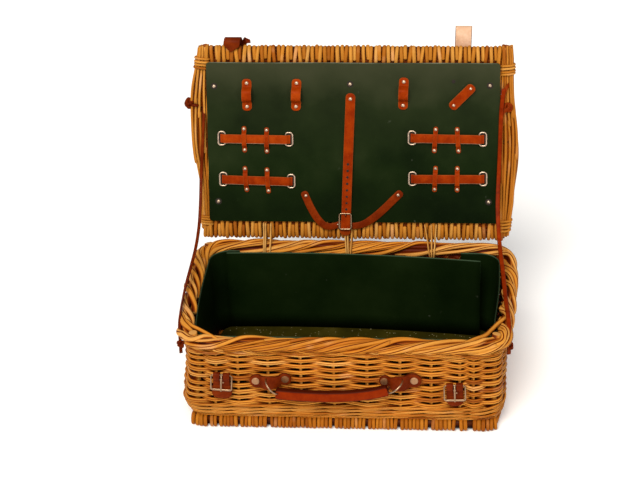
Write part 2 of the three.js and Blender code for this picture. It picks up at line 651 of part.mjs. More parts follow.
for (const b of BUCKLES) {
  const g = placed(front, b.x, b.z, 0, b.turn);
  const L = BUCKLE.leather;
  const c = BUCKLE.barH;
  const ri = 2.8; // inside of the fold
  // leather: up from its round tail, round the heel bar, down the front to its rivet
  const profile = [];
  profile.push([-BUCKLE.tail, 0.8], [-30, 0.8], [-8, 0.8]);
  const fold = [];
  for (let i = 0; i <= 8; i++) {
    const q = rad(-90 + (180 * i) / 8);
    fold.push([ri * Math.cos(q), c + ri * Math.sin(q)]);
  }
  const inner = [[-BUCKLE.tail, c - ri], [-30, c - ri], [-8, c - ri], ...fold, [-5, c + ri - 0.6], [-9.5, c - 0.2], [-13, c - ri + L + 0.5 - L + 0.3], [-18.5, c - ri + 0.4]];
  // back layer's underside is a leather thickness below the inside line
  const outerLine = [[-BUCKLE.tail, c - ri - L], [-30, c - ri - L], [-8, c - ri - L]];
  for (let i = 0; i <= 8; i++) {
    const q = rad(-90 + (180 * i) / 8);
    outerLine.push([(ri + L) * Math.cos(q), c + (ri + L) * Math.sin(q)]);
  }
  outerLine.push([-5.4, c + ri - 0.6 + L], [-10.2, c - 0.2 + L], [-13.6, c - ri + 0.3 + L], [-18.5, c - ri + 0.4 + L]);
  const outline = [...outerLine, ...inner.reverse()];
  let chape = plate(outline, 0, BUCKLE.strapW).translate(0, 0, -BUCKLE.strapW / 2);
  chape.applyMatrix4(new THREE.Matrix4().makeBasis(new THREE.Vector3(0, 1, 0), new THREE.Vector3(0, 0, 1), new THREE.Vector3(1, 0, 0)));
  const tail = plate(roundRect(BUCKLE.strapW / 2, (BUCKLE.tail + 12) / 2, 9, 5, 0, 12 - (BUCKLE.tail + 12) / 2), -1, 30);
  const top = boxAt(-30, 30, -20, 20, -1, 30);
  chape = geometryOf(solid(chape).intersect(solid(tail).add(solid(top))));
  // slot for the tongue's eye
  chape = cut(chape, boxAt(-2.1, 2.1, -6.4, 6, c - ri + 0.05, 20));
  add(g, `buckle_chape_${b.name}`, chape, MAT.brown);

  const f = placed(g, 0, 0, c, 0);
  const half = BUCKLE.len / 2;
  add(f, `buckle_frame_${b.name}`, wireLoop(roundRect(BUCKLE.hw, half, BUCKLE.r, 4, 0, -half), BUCKLE.bar), MAT.metal);
  // tongue: eye round the heel bar and an arm over the leather to the far bar
  const tongue = new THREE.Shape();
  const ro = 2.5;
  const rows = [];
  for (let i = 0; i <= 10; i++) {
    const q = rad(-150 + (250 * i) / 10);
    rows.push([ro * Math.cos(q), ro * Math.sin(q)]);
  }
  // arm: outer side then back along the inner side
  const arm = [[-5.2, 5.3], [-9, 5.2], [-20, 3.3], [-29, 2.9], [-30.4, 2.2], [-29, 1.6], [-20, 2.0], [-9, 3.8], [-5.6, 3.9], [-2.6, 1.6]];
  tongue.setFromPoints([...rows, ...arm].map(([s, h]) => new THREE.Vector2(s, h)));
  const hole = [];
  for (let i = 0; i < 12; i++) {
    const q = (-2 * Math.PI * i) / 12;
    hole.push(new THREE.Vector2(1.62 * Math.cos(q), 1.62 * Math.sin(q)));
  }
  tongue.holes.push(new THREE.Path(hole));
  const tg = new THREE.ExtrudeGeometry(tongue, { depth: 2.6, bevelEnabled: false }).translate(0, 0, -1.3);
  tg.applyMatrix4(new THREE.Matrix4().makeBasis(new THREE.Vector3(0, 1, 0), new THREE.Vector3(0, 0, 1), new THREE.Vector3(1, 0, 0)));
  add(f, `buckle_tongue_${b.name}`, tg, MAT.metal);
}

export default root;
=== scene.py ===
import math

import bpy
import numpy as np
from mathutils import Matrix, Vector


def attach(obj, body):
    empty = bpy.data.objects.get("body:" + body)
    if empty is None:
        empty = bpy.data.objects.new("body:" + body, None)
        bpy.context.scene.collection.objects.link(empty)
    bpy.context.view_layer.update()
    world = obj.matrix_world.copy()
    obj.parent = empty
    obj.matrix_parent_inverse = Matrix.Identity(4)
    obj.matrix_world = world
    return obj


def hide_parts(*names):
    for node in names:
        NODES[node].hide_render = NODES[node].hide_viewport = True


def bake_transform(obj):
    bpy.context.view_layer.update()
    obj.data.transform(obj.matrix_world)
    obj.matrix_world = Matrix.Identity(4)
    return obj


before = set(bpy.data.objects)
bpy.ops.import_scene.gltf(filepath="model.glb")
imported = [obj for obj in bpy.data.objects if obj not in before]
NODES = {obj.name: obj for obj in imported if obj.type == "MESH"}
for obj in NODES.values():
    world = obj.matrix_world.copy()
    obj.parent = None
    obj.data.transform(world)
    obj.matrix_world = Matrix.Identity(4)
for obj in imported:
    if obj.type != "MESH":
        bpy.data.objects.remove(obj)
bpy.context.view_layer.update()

MM = 0.001
rng = np.random.default_rng(20317)

# ------------------------------------------------------------------ lid frame (mm)
HY, HZ, LEAN = 166.0, 184.0, math.radians(13.8)
SL, CL = math.sin(LEAN), math.cos(LEAN)


def lidp(x, v, h):
    """Point of the lid: x across, v up from the hinge line, h out of its inner face."""
    x, v, h = np.broadcast_arrays(np.asarray(x, float), np.asarray(v, float), np.asarray(h, float))
    return np.stack([x, HY + v * SL - h * CL, HZ + v * CL + h * SL], -1)


def lidd(x, v, h):
    """Direction in the lid frame."""
    return np.array([x, v * SL - h * CL, v * CL + h * SL])


LID_N = lidd(0, 0, 1)
LID_V = lidd(0, 1, 0)
X = np.array([1.0, 0, 0])
Y = np.array([0, 1.0, 0])
Z = np.array([0, 0, 1.0])

FRONT_Y = -162.6


def unit(a):
    return a / np.maximum(np.linalg.norm(a, axis=-1, keepdims=True), 1e-9)


def spline(pts, n):
    """Smooth curve through the points, n samples evenly along it."""
    p = np.asarray(pts, float)
    d = np.r_[0, np.cumsum(np.linalg.norm(np.diff(p, axis=0), axis=1) ** 0.5)]
    t = np.linspace(0, d[-1], max(200, n * 6))
    # natural Hermite with finite-difference tangents
    m = np.zeros_like(p)
    m[1:-1] = ((p[1:-1] - p[:-2]) / (d[1:-1] - d[:-2])[:, None] * (d[2:] - d[1:-1])[:, None] + (p[2:] - p[1:-1]) / (d[2:] - d[1:-1])[:, None] * (d[1:-1] - d[:-2])[:, None]) / (d[2:] - d[:-2])[:, None]
    m[0] = (p[1] - p[0]) / (d[1] - d[0])
    m[-1] = (p[-1] - p[-2]) / (d[-1] - d[-2])
    k = np.clip(np.searchsorted(d, t, side="right") - 1, 0, len(p) - 2)
    h = (d[k + 1] - d[k])[:, None]
    u = ((t - d[k])[:, None]) / h
    q = (2 * u**3 - 3 * u**2 + 1) * p[k] + (u**3 - 2 * u**2 + u) * h * m[k] + (-2 * u**3 + 3 * u**2) * p[k + 1] + (u**3 - u**2) * h * m[k + 1]
    s = np.r_[0, np.cumsum(np.linalg.norm(np.diff(q, axis=0), axis=1))]
    w = np.linspace(0, s[-1], n)
    return np.stack([np.interp(w, s, q[:, i]) for i in range(3)], -1)


def arc_len(p):
    return np.r_[0, np.cumsum(np.linalg.norm(np.diff(p, axis=0), axis=1))]


# ------------------------------------------------------------------ mesh builder
class Builder:
    """Collects vertices and faces in millimetres with per-point attributes."""

    def __init__(self):
        self.v, self.q, self.t, self.n = [], [], [], 0
        self.attr = {k: [] for k in ("tint", "along", "around", "cutend", "deep")}
        self.qm, self.tm = [], []

    def block(self, v, quads=None, tris=None, mat=0, **attr):
        v = np.asarray(v, float).reshape(-1, 3)
        self.v.append(v)
        for k in self.attr:
            self.attr[k].append(np.broadcast_to(np.asarray(attr.get(k, 0.0), float), (len(v),)).copy())
        if quads is not None and len(quads):
            q = np.asarray(quads, int) + self.n
            self.q.append(q)
            self.qm.append(np.full(len(q), mat))
        if tris is not None and len(tris):
            t = np.asarray(tris, int) + self.n
            self.t.append(t)
            self.tm.append(np.full(len(t), mat))
        self.n += len(v)

    def tube(self, p, r, ref, rb=None, sides=8, tint=None, closed=False, cap="cut", mat=0, deep=0.0):
        """Rod along points p; half sizes r along ref and rb across it."""
        p = np.asarray(p, float)
        n = len(p)
        r = np.broadcast_to(np.asarray(r, float), (n,)).copy()
        rb = r.copy() if rb is None else np.broadcast_to(np.asarray(rb, float), (n,)).copy()
        if closed:
            tan = unit(np.roll(p, -1, 0) - np.roll(p, 1, 0))
        else:
            tan = unit(np.gradient(p, axis=0))
        ref = np.broadcast_to(np.asarray(ref, float), (n, 3))
        N = unit(ref - (ref * tan).sum(1, keepdims=True) * tan)
        B = np.cross(tan, N)
        tint = rng.random() if tint is None else tint
        s = arc_len(p) + 997.0 * tint
        th = np.linspace(0, 2 * np.pi, sides, endpoint=False)
        ring = p[:, None] + N[:, None] * (r[:, None] * np.cos(th))[..., None] + B[:, None] * (rb[:, None] * np.sin(th))[..., None]
        v = ring.reshape(-1, 3)
        along = np.repeat(s, sides)
        around = np.tile(th, n)
        # per-point amount of painted shade along the rod
        deep = np.repeat(np.broadcast_to(np.asarray(deep, float), (n,)), sides)
        end = np.zeros(len(v))
        rows = n if closed else n - 1
        i = np.arange(sides)
        quads = []
        for j in range(rows):
            a, b = j * sides, ((j + 1) % n) * sides
            quads.append(np.stack([a + i, a + (i + 1) % sides, b + (i + 1) % sides, b + i], 1))
        quads = np.concatenate(quads)
        tris = []
        if not closed:
            extra, ex_a, ex_r, ex_e = [], [], [], []
            base = len(v)
            for e, k, sgn in ((0, 0, -1), (1, n - 1, 1)):
                if cap == "round" or (cap == "tipround" and e == 1):
                    lift = 0.55 * min(r[k], rb[k])
                    c = p[k] + tan[k] * sgn * lift
                    inner = p[k] + tan[k] * sgn * lift * 0.62 + (ring[k] - p[k]) * 0.62
                    flag = 0.0
                else:
                    c = p[k] + tan[k] * sgn * 0.25
                    inner = p[k] + tan[k] * sgn * 0.22 + (ring[k] - p[k]) * 0.86
                    flag = 1.0
                o = base + len(extra)
                extra += list(inner) + [c]
                ex_a += [s[k]] * (sides + 1)
                ex_r += list(th) + [0.0]
                ex_e += [flag] * (sides + 1)
                a = k * sides
                if sgn > 0:
                    quads = np.concatenate([quads, np.stack([a + i, a + (i + 1) % sides, o + (i + 1) % sides, o + i], 1)])
                    tris.append(np.stack([o + i, o + (i + 1) % sides, np.full(sides, o + sides)], 1))
                else:
                    quads = np.concatenate([quads, np.stack([a + (i + 1) % sides, a + i, o + i, o + (i + 1) % sides], 1)])
                    tris.append(np.stack([o + (i + 1) % sides, o + i, np.full(sides, o + sides)], 1))
            v = np.concatenate([v, np.array(extra)])
            along = np.r_[along, ex_a]
            around = np.r_[around, ex_r]
            end = np.r_[end, ex_e]
            deep = np.r_[deep, np.full(sides + 1, deep[0]), np.full(sides + 1, deep[-1])]
            tris = np.concatenate(tris)
        self.block(v, quads, tris if len(tris) else None, mat, tint=tint, along=along, around=around, cutend=end, deep=deep)

    def strap(self, p, side, w, t, tint=None, mat=0, soft=0.42, crown=0.0):
        """Flat strap along p; side is the direction of its width; w may vary; rounded edges."""
        p = np.asarray(p, float)
        n = len(p)
        w = np.broadcast_to(np.asarray(w, float), (n,))
        t = np.broadcast_to(np.asarray(t, float), (n,))
        tan = unit(np.gradient(p, axis=0))
        side = np.broadcast_to(np.asarray(side, float), (n, 3))
        S = unit(side - (side * tan).sum(1, keepdims=True) * tan)
        U = np.cross(tan, S)  # faces the -up side for side = tan x up
        # section: rounded rectangle, unit half sizes
        m = 3
        sec = []
        for cx, cy, a0 in ((1, -1, -90), (1, 1, 0), (-1, 1, 90), (-1, -1, 180)):
            for q in range(m):
                a = math.radians(a0 + 90 * q / (m - 1))
                sec.append((cx, cy, math.cos(a), math.sin(a)))
        sec = np.array(sec)
        rad = t[:, None] * soft
        hw = np.maximum(w[:, None] / 2 - rad, 0.02)
        ht = np.maximum(t[:, None] / 2 - rad, 0.0)
        su = sec[:, 0] * hw + sec[:, 2] * np.minimum(rad, w[:, None] / 2)
        sh = sec[:, 1] * ht + sec[:, 3] * rad
        ring = p[:, None] + S[:, None] * su[..., None] + U[:, None] * sh[..., None]
        k = len(sec)
        v = ring.reshape(-1, 3)
        i = np.arange(k)
        quads = np.concatenate([np.stack([j * k + i, j * k + (i + 1) % k, (j + 1) * k + (i + 1) % k, (j + 1) * k + i], 1) for j in range(n - 1)])
        tint = rng.random() if tint is None else tint
        s = arc_len(p)
        edge = np.tile((np.abs(sec[:, 2]) > 0.35).astype(float), n)
        c0, c1 = len(v), len(v) + 1
        v = np.concatenate([v, [p[0]], [p[-1]]])
        tris = np.concatenate([np.stack([(i + 1) % k, i, np.full(k, c0)], 1), np.stack([(n - 1) * k + i, (n - 1) * k + (i + 1) % k, np.full(k, c1)], 1)])
        self.block(v, quads, tris, mat, tint=tint, along=np.r_[np.repeat(s, k), 0, s[-1]], around=np.r_[su.ravel(), 0, 0], cutend=np.r_[edge, 1, 1])

    def lathe(self, c, axis, prof, sides=18, mat=0, tint=None, squash=1.0, ref=None, turn=0.0):
        """Turned piece: profile rows (radius, height) up from c along axis, closed at the axis."""
        axis = unit(np.asarray(axis, float))
        ref = (X if abs(axis[0]) < 0.9 else Z) if ref is None else np.asarray(ref, float)
        a = unit(ref - (ref * axis).sum() * axis)
        b = np.cross(axis, a)
        th = np.linspace(0, 2 * np.pi, sides, endpoint=False) + turn
        rows = [np.asarray(c) + axis * h + r * (np.cos(th)[:, None] * a + np.sin(th)[:, None] * b * squash) for r, h in prof if r > 1e-6]
        v = np.concatenate(rows)
        n = len(rows)
        i = np.arange(sides)
        quads = np.concatenate([np.stack([j * sides + i, j * sides + (i + 1) % sides, (j + 1) * sides + (i + 1) % sides, (j + 1) * sides + i], 1) for j in range(n - 1)])
        top = np.asarray(c) + axis * prof[-1][1]
        bot = np.asarray(c) + axis * prof[0][1]
        o = len(v)
        v = np.concatenate([v, [bot], [top]])
        tris = np.concatenate([np.stack([(i + 1) % sides, i, np.full(sides, o)], 1), np.stack([(n - 1) * sides + i, (n - 1) * sides + (i + 1) % sides, np.full(sides, o + 1)], 1)])
        self.block(v, quads, tris, mat, tint=rng.random() if tint is None else tint)

    def obj(self, name, mats, body=None, slot=None, replaces=(), sharp=None):
        v = np.concatenate(self.v) * MM
        q = np.concatenate(self.q) if self.q else np.zeros((0, 4), int)
        t = np.concatenate(self.t) if self.t else np.zeros((0, 3), int)
        me = bpy.data.meshes.new(name)
        me.vertices.add(len(v))
        me.vertices.foreach_set("co", v.ravel())
        loops = np.r_[q.ravel(), t.ravel()]
        me.loops.add(len(loops))
        me.loops.foreach_set("vertex_index", loops)
        nq, nt = len(q), len(t)
        me.polygons.add(nq + nt)
        me.polygons.foreach_set("loop_start", np.r_[np.arange(nq) * 4, nq * 4 + np.arange(nt) * 3])
        me.polygons.foreach_set("loop_total", np.r_[np.full(nq, 4), np.full(nt, 3)])
        mi = np.concatenate(self.qm + self.tm) if (self.qm or self.tm) else np.zeros(0, int)
        me.polygons.foreach_set("material_index", mi.astype(int))
        me.polygons.foreach_set("use_smooth", np.ones(nq + nt, bool))
        for k, parts in self.attr.items():
            a = me.attributes.new(k, "FLOAT", "POINT")
            a.data.foreach_set("value", np.concatenate(parts).astype(np.float32))
        me.update(calc_edges=True)
        me.validate()
        if sharp is not None:
            me.set_sharp_from_angle(angle=math.radians(sharp))
        o = bpy.data.objects.new(name, me)
        bpy.context.scene.collection.objects.link(o)
        for m in mats:
            me.materials.append(m)
        if body:
            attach(o, body)
        if replaces:
            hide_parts(*replaces)
        return o


# ------------------------------------------------------------------ materials
def new_mat(name):
    m = bpy.data.materials.new(name)
    m.use_nodes = True
    nt = m.node_tree
    nt.nodes.clear()
    out = nt.nodes.new("ShaderNodeOutputMaterial")
    bs = nt.nodes.new("ShaderNodeBsdfPrincipled")
    nt.links.new(bs.outputs[0], out.inputs[0])
    return m, nt, bs


def node(nt, kind, **kw):
    n = nt.nodes.new(kind)
    for k, v in kw.items():
        setattr(n, k, v)
    return n


def math_node(nt, op, a, b=None, c=None):
    n = node(nt, "ShaderNodeMath", operation=op)
    for i, x in enumerate((a, b, c)):
        if x is None:
            continue
        if isinstance(x, (int, float)):
            n.inputs[i].default_value = x
        else:
            nt.links.new(x, n.inputs[i])
    return n.outputs[0]


def ramp(nt, fac, stops, interp="LINEAR"):
    n = node(nt, "ShaderNodeValToRGB")
    cr = n.color_ramp
    cr.interpolation = interp
    while len(cr.elements) < len(stops):
        cr.elements.new(0.5)
    for e, (p, c) in zip(cr.elements, stops):
        e.position = p
        e.color = (*c, 1) if len(c) == 3 else c
    nt.links.new(fac, n.inputs[0])
    return n.outputs[0]


def mix(nt, kind, fac, a, b):
    n = node(nt, "ShaderNodeMix", data_type="RGBA", blend_type=kind)
    for i, x in ((0, fac), (6, a), (7, b)):
        if isinstance(x, (int, float)):
            n.inputs[i].default_value = x
        elif isinstance(x, tuple):
            n.inputs[i].default_value = (*x, 1)
        else:
            nt.links.new(x, n.inputs[i])
    return n.outputs[2]


def noise(nt, vec, scale, detail=4, rough=0.55, dist=0.0):
    n = node(nt, "ShaderNodeTexNoise")
    n.inputs["Scale"].default_value = scale
    n.inputs["Detail"].default_value = detail
    n.inputs["Roughness"].default_value = rough
    n.inputs["Distortion"].default_value = dist
    if vec is not None:
        nt.links.new(vec, n.inputs["Vector"])
    return n.outputs[0]


def attr(nt, name):
    n = node(nt, "ShaderNodeAttribute", attribute_name=name)
    return n.outputs["Fac"]


def combine(nt, x, y, z):
    n = node(nt, "ShaderNodeCombineXYZ")
    for i, v in enumerate((x, y, z)):
        if isinstance(v, (int, float)):
            n.inputs[i].default_value = v
        else:
            nt.links.new(v, n.inputs[i])
    return n.outputs[0]


def bump(nt, bs, height, dist, strength=1.0):
    b = node(nt, "ShaderNodeBump")
    b.inputs["Strength"].default_value = strength
    b.inputs["Distance"].default_value = dist
    nt.links.new(height, b.inputs["Height"])
    nt.links.new(b.outputs[0], bs.inputs["Normal"])


def objco(nt):
    return node(nt, "ShaderNodeTexCoord").outputs["Object"]


def wicker(name, stops, groove="out", rough=0.46, soft=0.0, ends=False):
    """Peeled willow: tint per rod, streaks along it, darker nodes, pale cut ends."""
    m, nt, bs = new_mat(name)
    tint, along, around, cut = (attr(nt, k) for k in ("tint", "along", "around", "cutend"))
    base = ramp(nt, tint, stops)
    ca, sa = math_node(nt, "COSINE", around), math_node(nt, "SINE", around)
    t100 = math_node(nt, "MULTIPLY", tint, 61.0)
    # slow change of shade along a rod
    slow = noise(nt, combine(nt, math_node(nt, "MULTIPLY", along, 0.011), ca, t100), 1.0, 3)
    c = mix(nt, "MULTIPLY", 1.0, base, ramp(nt, slow, [(0.26, (0.70, 0.64, 0.55)), (0.48, (1.0, 1.0, 1.0)), (0.72, (1.2, 1.19, 1.16))]))
    # fine streaks of the bark side
    fine_v = combine(nt, math_node(nt, "MULTIPLY", along, 0.03), math_node(nt, "MULTIPLY", ca, 2.4), math_node(nt, "ADD", math_node(nt, "MULTIPLY", sa, 2.4), t100))
    fine = noise(nt, fine_v, 2.0, 6, 0.65)
    c = mix(nt, "MULTIPLY", 0.85, c, ramp(nt, fine, [(0.28, (0.72, 0.64, 0.55)), (0.5, (1, 1, 1)), (0.75, (1.14, 1.12, 1.08))]))
    # paler lengths where the skin is thin
    pale = noise(nt, combine(nt, math_node(nt, "MULTIPLY", along, 0.016), 0.0, math_node(nt, "MULTIPLY", tint, 83.0)), 1.0, 2)
    c = mix(nt, "MIX", ramp(nt, pale, [(0.60, (0, 0, 0)), (0.72, (0.62, 0.62, 0.62))]), c, (0.66, 0.33, 0.13))
    # small brown marks and leaf scars
    spot = noise(nt, combine(nt, math_node(nt, "MULTIPLY", along, 0.085), math_node(nt, "MULTIPLY", ca, 0.7), t100), 1.7, 2)
    c = mix(nt, "MIX", ramp(nt, spot, [(0.70, (0, 0, 0)), (0.80, (0.75, 0.75, 0.75))]), c, (0.15, 0.042, 0.006))
    c = mix(nt, "MIX", math_node(nt, "MULTIPLY", cut, 0.8), c, (0.56, 0.27, 0.07))
    # painted shade: each rod is darkened along its sides, where it meets its neighbours
    face = ca if groove == "out" else math_node(nt, "ABSOLUTE", sa)
    shade = ramp(nt, math_node(nt, "MULTIPLY_ADD", face, 0.5, 0.5), [(0.38, (0.18 + soft * 0.3, 0.05 + soft * 0.2, 0.01 + soft * 0.12)), (0.54, (0.48 + soft * 0.3, 0.28 + soft * 0.27, 0.1 + soft * 0.24)), (0.66, (0.84 + soft * 0.1, 0.71 + soft * 0.15, 0.55 + soft * 0.2)), (0.8, (1, 1, 1))])
    c = mix(nt, "MULTIPLY", math_node(nt, "SUBTRACT", 1.0, cut), c, shade)
    # painted shade: rod lengths that pass behind the stakes or lie deep in the work are darkened
    c = mix(nt, "MULTIPLY", 1.0, c, ramp(nt, attr(nt, "deep"), [(0.0, (1, 1, 1)), (0.45, (0.6, 0.37, 0.2)), (1.0, (0.28, 0.075, 0.015))]))
    if ends:
        # handled and sunned in the middle, browner towards the ends
        pos = node(nt, "ShaderNodeSeparateXYZ")
        nt.links.new(objco(nt), pos.inputs[0])
        far = math_node(nt, "MULTIPLY", math_node(nt, "ABSOLUTE", pos.outputs[0]), 3.7)
        c = mix(nt, "MULTIPLY", 1.0, c, ramp(nt, far, [(0.3, (1.09, 1.07, 1.05)), (0.62, (1.0, 0.98, 0.95)), (0.82, (0.9, 0.85, 0.78))]))
    nt.links.new(c, bs.inputs["Base Color"])
    r = math_node(nt, "MULTIPLY_ADD", fine, 0.28, rough - 0.12)
    nt.links.new(r, bs.inputs["Roughness"])
    bs.inputs["Specular IOR Level"].default_value = 0.05
    bs.inputs["Coat Weight"].default_value = 0.012
    bs.inputs["Coat Roughness"].default_value = 0.25
    bump(nt, bs, fine, 0.0006, 0.45)
    return m


WILLOW = [
    (0.0, (0.31, 0.085, 0.007)),
    (0.2, (0.43, 0.15, 0.014)),
    (0.45, (0.535, 0.215, 0.026)),
    (0.7, (0.60, 0.27, 0.044)),
    (0.9, (0.63, 0.31, 0.066)),
    (1.0, (0.65, 0.345, 0.10)),
]
M_WALL = wicker("willow_wall", WILLOW, soft=0.52, ends=True)
M_RIM = wicker("willow_border", [(p, (r * 0.92, g * 0.82, b * 0.62)) for p, (r, g, b) in WILLOW], soft=0.05)
M_LID = wicker("willow_lid", [(p, (r * 0.85, g * 0.79, b * 0.68)) for p, (r, g, b) in WILLOW], "flat", soft=0.1)
# near-black willow for sticks seen only in gaps and behind rods: painted shade
M_STICK_SHADE = wicker("willow_stick_painted_shade", [(0, (0.055, 0.011, 0.002)), (1, (0.14, 0.032, 0.004))])
M_FOOT = wicker("willow_foot", [(0, (0.235, 0.058, 0.003)), (0.5, (0.335, 0.104, 0.006)), (1, (0.43, 0.158, 0.014))], "flat", soft=0.06)
M_CANE = wicker("cane_lashing", [(0, (0.42, 0.19, 0.035)), (0.5, (0.55, 0.27, 0.06)), (1, (0.62, 0.35, 0.1))])


def leather(name, dark, mid, light, edge, edge_amt=0.6, rough=0.42, coat=0.15):
    """Hide: mottled colour, fine grain bump, its own cut-edge colour and a few scuffs."""
    m, nt, bs = new_mat(name)
    co = objco(nt)
    edgea, tint = attr(nt, "cutend"), attr(nt, "tint")
    mott = noise(nt, co, 55.0, 5, 0.6)
    base = ramp(nt, math_node(nt, "ADD", mott, math_node(nt, "MULTIPLY", math_node(nt, "SUBTRACT", tint, 0.5), 0.22)), [(0.3, dark), (0.5, mid), (0.7, light)])
    scuff = noise(nt, co, 260.0, 3, 0.6, 0.6)
    base = mix(nt, "MIX", ramp(nt, scuff, [(0.64, (0, 0, 0)), (0.76, (0.45, 0.45, 0.45))]), base, tuple(min(1, x * 1.5 + 0.01) for x in light))
    base = mix(nt, "MIX", math_node(nt, "MULTIPLY", edgea, edge_amt), base, edge)
    nt.links.new(base, bs.inputs["Base Color"])
    grain = node(nt, "ShaderNodeTexVoronoi", feature="DISTANCE_TO_EDGE")
    grain.inputs["Scale"].default_value = 1100.0
    nt.links.new(co, grain.inputs["Vector"])
    g2 = noise(nt, co, 700.0, 3)
    hgt = math_node(nt, "ADD", math_node(nt, "MULTIPLY", grain.outputs["Distance"], 0.8), g2)
    nt.links.new(math_node(nt, "MULTIPLY_ADD", mott, 0.3, rough - 0.15), bs.inputs["Roughness"])
    bs.inputs["Specular IOR Level"].default_value = 0.02
    bs.inputs["Coat Weight"].default_value = coat * 0.05
    bs.inputs["Coat Roughness"].default_value = 0.3
    bump(nt, bs, hgt, 0.0004, 0.35)
    return m


M_TAN = leather("tan_hide", (0.195, 0.0165, 0.0006), (0.262, 0.0270, 0.0008), (0.328, 0.0415, 0.0020), (0.36, 0.10, 0.02), 0.6)
M_TAN_DARK = leather("tan_hide_worn", (0.12, 0.012, 0.001), (0.18, 0.02, 0.0012), (0.24, 0.033, 0.003), (0.2, 0.04, 0.006), 0.5)
M_BROWN = leather("brown_hide", (0.08, 0.0075, 0.0005), (0.12, 0.013, 0.0007), (0.165, 0.021, 0.0014), (0.036, 0.0045, 0.0015), 0.7, 0.4, 0.3)
M_GRIP = leather("grip_hide", (0.15, 0.0105, 0.0003), (0.187, 0.0155, 0.0004), (0.225, 0.0215, 0.0008), (0.03, 0.0035, 0.001), 0.9, 0.4, 0.2)
M_FLESH_EDGE = leather("cut_edge", (0.16, 0.085, 0.045), (0.25, 0.15, 0.09), (0.36, 0.24, 0.16), (0.3, 0.18, 0.1), 0.3, 0.7, 0.0)
M_FLESH = leather("flesh_side", (0.52, 0.30, 0.185), (0.63, 0.385, 0.245), (0.72, 0.48, 0.33), (0.34, 0.16, 0.08), 0.5, 0.8, 0.0)


def metal(name, col, rough=0.28, dirt=(0.16, 0.1, 0.06)):
    """Old nickel plate: fine scratches, warm tarnish in patches."""
    m, nt, bs = new_mat(name)
    co = objco(nt)
    n1 = noise(nt, co, 420.0, 5, 0.6)
    n2 = noise(nt, co, 90.0, 3)
    c = ramp(nt, n1, [(0.3, tuple(x * 0.72 for x in col)), (0.55, col), (0.8, tuple(min(1, x * 1.12) for x in col))])
    c = mix(nt, "MIX", ramp(nt, n2, [(0.56, (0, 0, 0)), (0.74, (0.6, 0.6, 0.6))]), c, dirt)
    nt.links.new(c, bs.inputs["Base Color"])
    nt.links.new(math_node(nt, "MULTIPLY_ADD", n1, 0.35, rough - 0.1), bs.inputs["Roughness"])
    bs.inputs["Metallic"].default_value = 1.0
    bump(nt, bs, n1, 0.0003, 0.3)
    return m


M_NICKEL = metal("worn_nickel", (0.36, 0.23, 0.135), 0.26)
M_EYE = metal("slot_eye_metal", (0.55, 0.41, 0.30), 0.3)
M_RIVET = metal("rivet_metal", (0.62, 0.46, 0.33), 0.4)
# darker rivet metal for the inner handle rivets: painted shade, with tarnish patches
M_RIVET_SHADE_TARNISH = metal("rivet_metal_shade_and_tarnish", (0.27, 0.125, 0.055), 0.62, (0.13, 0.05, 0.018))
M_COPPER = metal("dull_rivet_metal", (0.46, 0.26, 0.14), 0.6, (0.24, 0.11, 0.04))
M_STAY = leather("stay_hide", (0.13, 0.0105, 0.0004), (0.195, 0.017, 0.0005), (0.27, 0.028, 0.0015), (0.06, 0.005, 0.0008), 0.7)


def green(name, cols, rough, sheen_scale=9.0, painted_sheen=None):
    """Leatherette on stiff board: fine pebble, slow tone change, faint rub marks."""
    m, nt, bs = new_mat(name)
    co = objco(nt)
    slow = noise(nt, co, sheen_scale, 4, 0.55)
    c = ramp(nt, slow, [(0.3, cols[0]), (0.52, cols[1]), (0.74, cols[2])])
    if painted_sheen:
        # painted light: the board is paler and greyer towards its top, a painted sheen, and darker towards its bottom,
        # painted shade
        gen = node(nt, "ShaderNodeSeparateXYZ")
        nt.links.new(node(nt, "ShaderNodeTexCoord").outputs["Generated"], gen.inputs[0])
        up = math_node(nt, "ADD", gen.outputs[2], math_node(nt, "MULTIPLY", math_node(nt, "SUBTRACT", slow, 0.5), 0.5))
        c = mix(nt, "MULTIPLY", 1.0, c, ramp(nt, up, [(0.05, (0.62, 0.68, 0.5)), (0.5, (1, 1, 1))]))
        c = mix(nt, "MIX", ramp(nt, up, [(0.35, (0, 0, 0)), (0.72, (0.22, 0.22, 0.22)), (1.0, (1, 1, 1))]), c, painted_sheen)
    rub = noise(nt, co, 120.0, 6, 0.7, 0.8)
    c = mix(nt, "MIX", ramp(nt, rub, [(0.62, (0, 0, 0)), (0.8, (0.25, 0.25, 0.25))]), c, tuple(min(1, x * 2.2 + 0.01) for x in cols[2]))
    speck = noise(nt, co, 64.0, 2, 0.5, 0.4)
    c = mix(nt, "MIX", ramp(nt, speck, [(0.75, (0, 0, 0)), (0.79, (0.26, 0.26, 0.26))]), c, (0.10, 0.11, 0.08))
    # the rounded top edges of the boards are lighter: their own edge colour, partly a painted highlight
    c = mix(nt, "MIX", math_node(nt, "MULTIPLY", attr(nt, "cutend"), 0.8), c, (0.05, 0.085, 0.045))
    nt.links.new(c, bs.inputs["Base Color"])
    vor = node(nt, "ShaderNodeTexVoronoi", feature="DISTANCE_TO_EDGE")
    vor.inputs["Scale"].default_value = 780.0
    nt.links.new(co, vor.inputs["Vector"])
    wave = noise(nt, co, 16.0, 2)
    hgt = math_node(nt, "ADD", math_node(nt, "MULTIPLY", vor.outputs["Distance"], 0.5), math_node(nt, "MULTIPLY", wave, 3.0))
    nt.links.new(math_node(nt, "MULTIPLY_ADD", slow, 0.22, rough - 0.1), bs.inputs["Roughness"])
    bs.inputs["Specular IOR Level"].default_value = 0.04
    bump(nt, bs, hgt, 0.0006, 0.25)
    return m


# the lid board has a painted sheen at its top and painted shade lower down
M_BOARD = green("lid_leatherette", ((0.0030, 0.0078, 0.0010), (0.0062, 0.0138, 0.0020), (0.012, 0.0205, 0.0046)), 0.46, painted_sheen=(0.034, 0.0375, 0.0172))
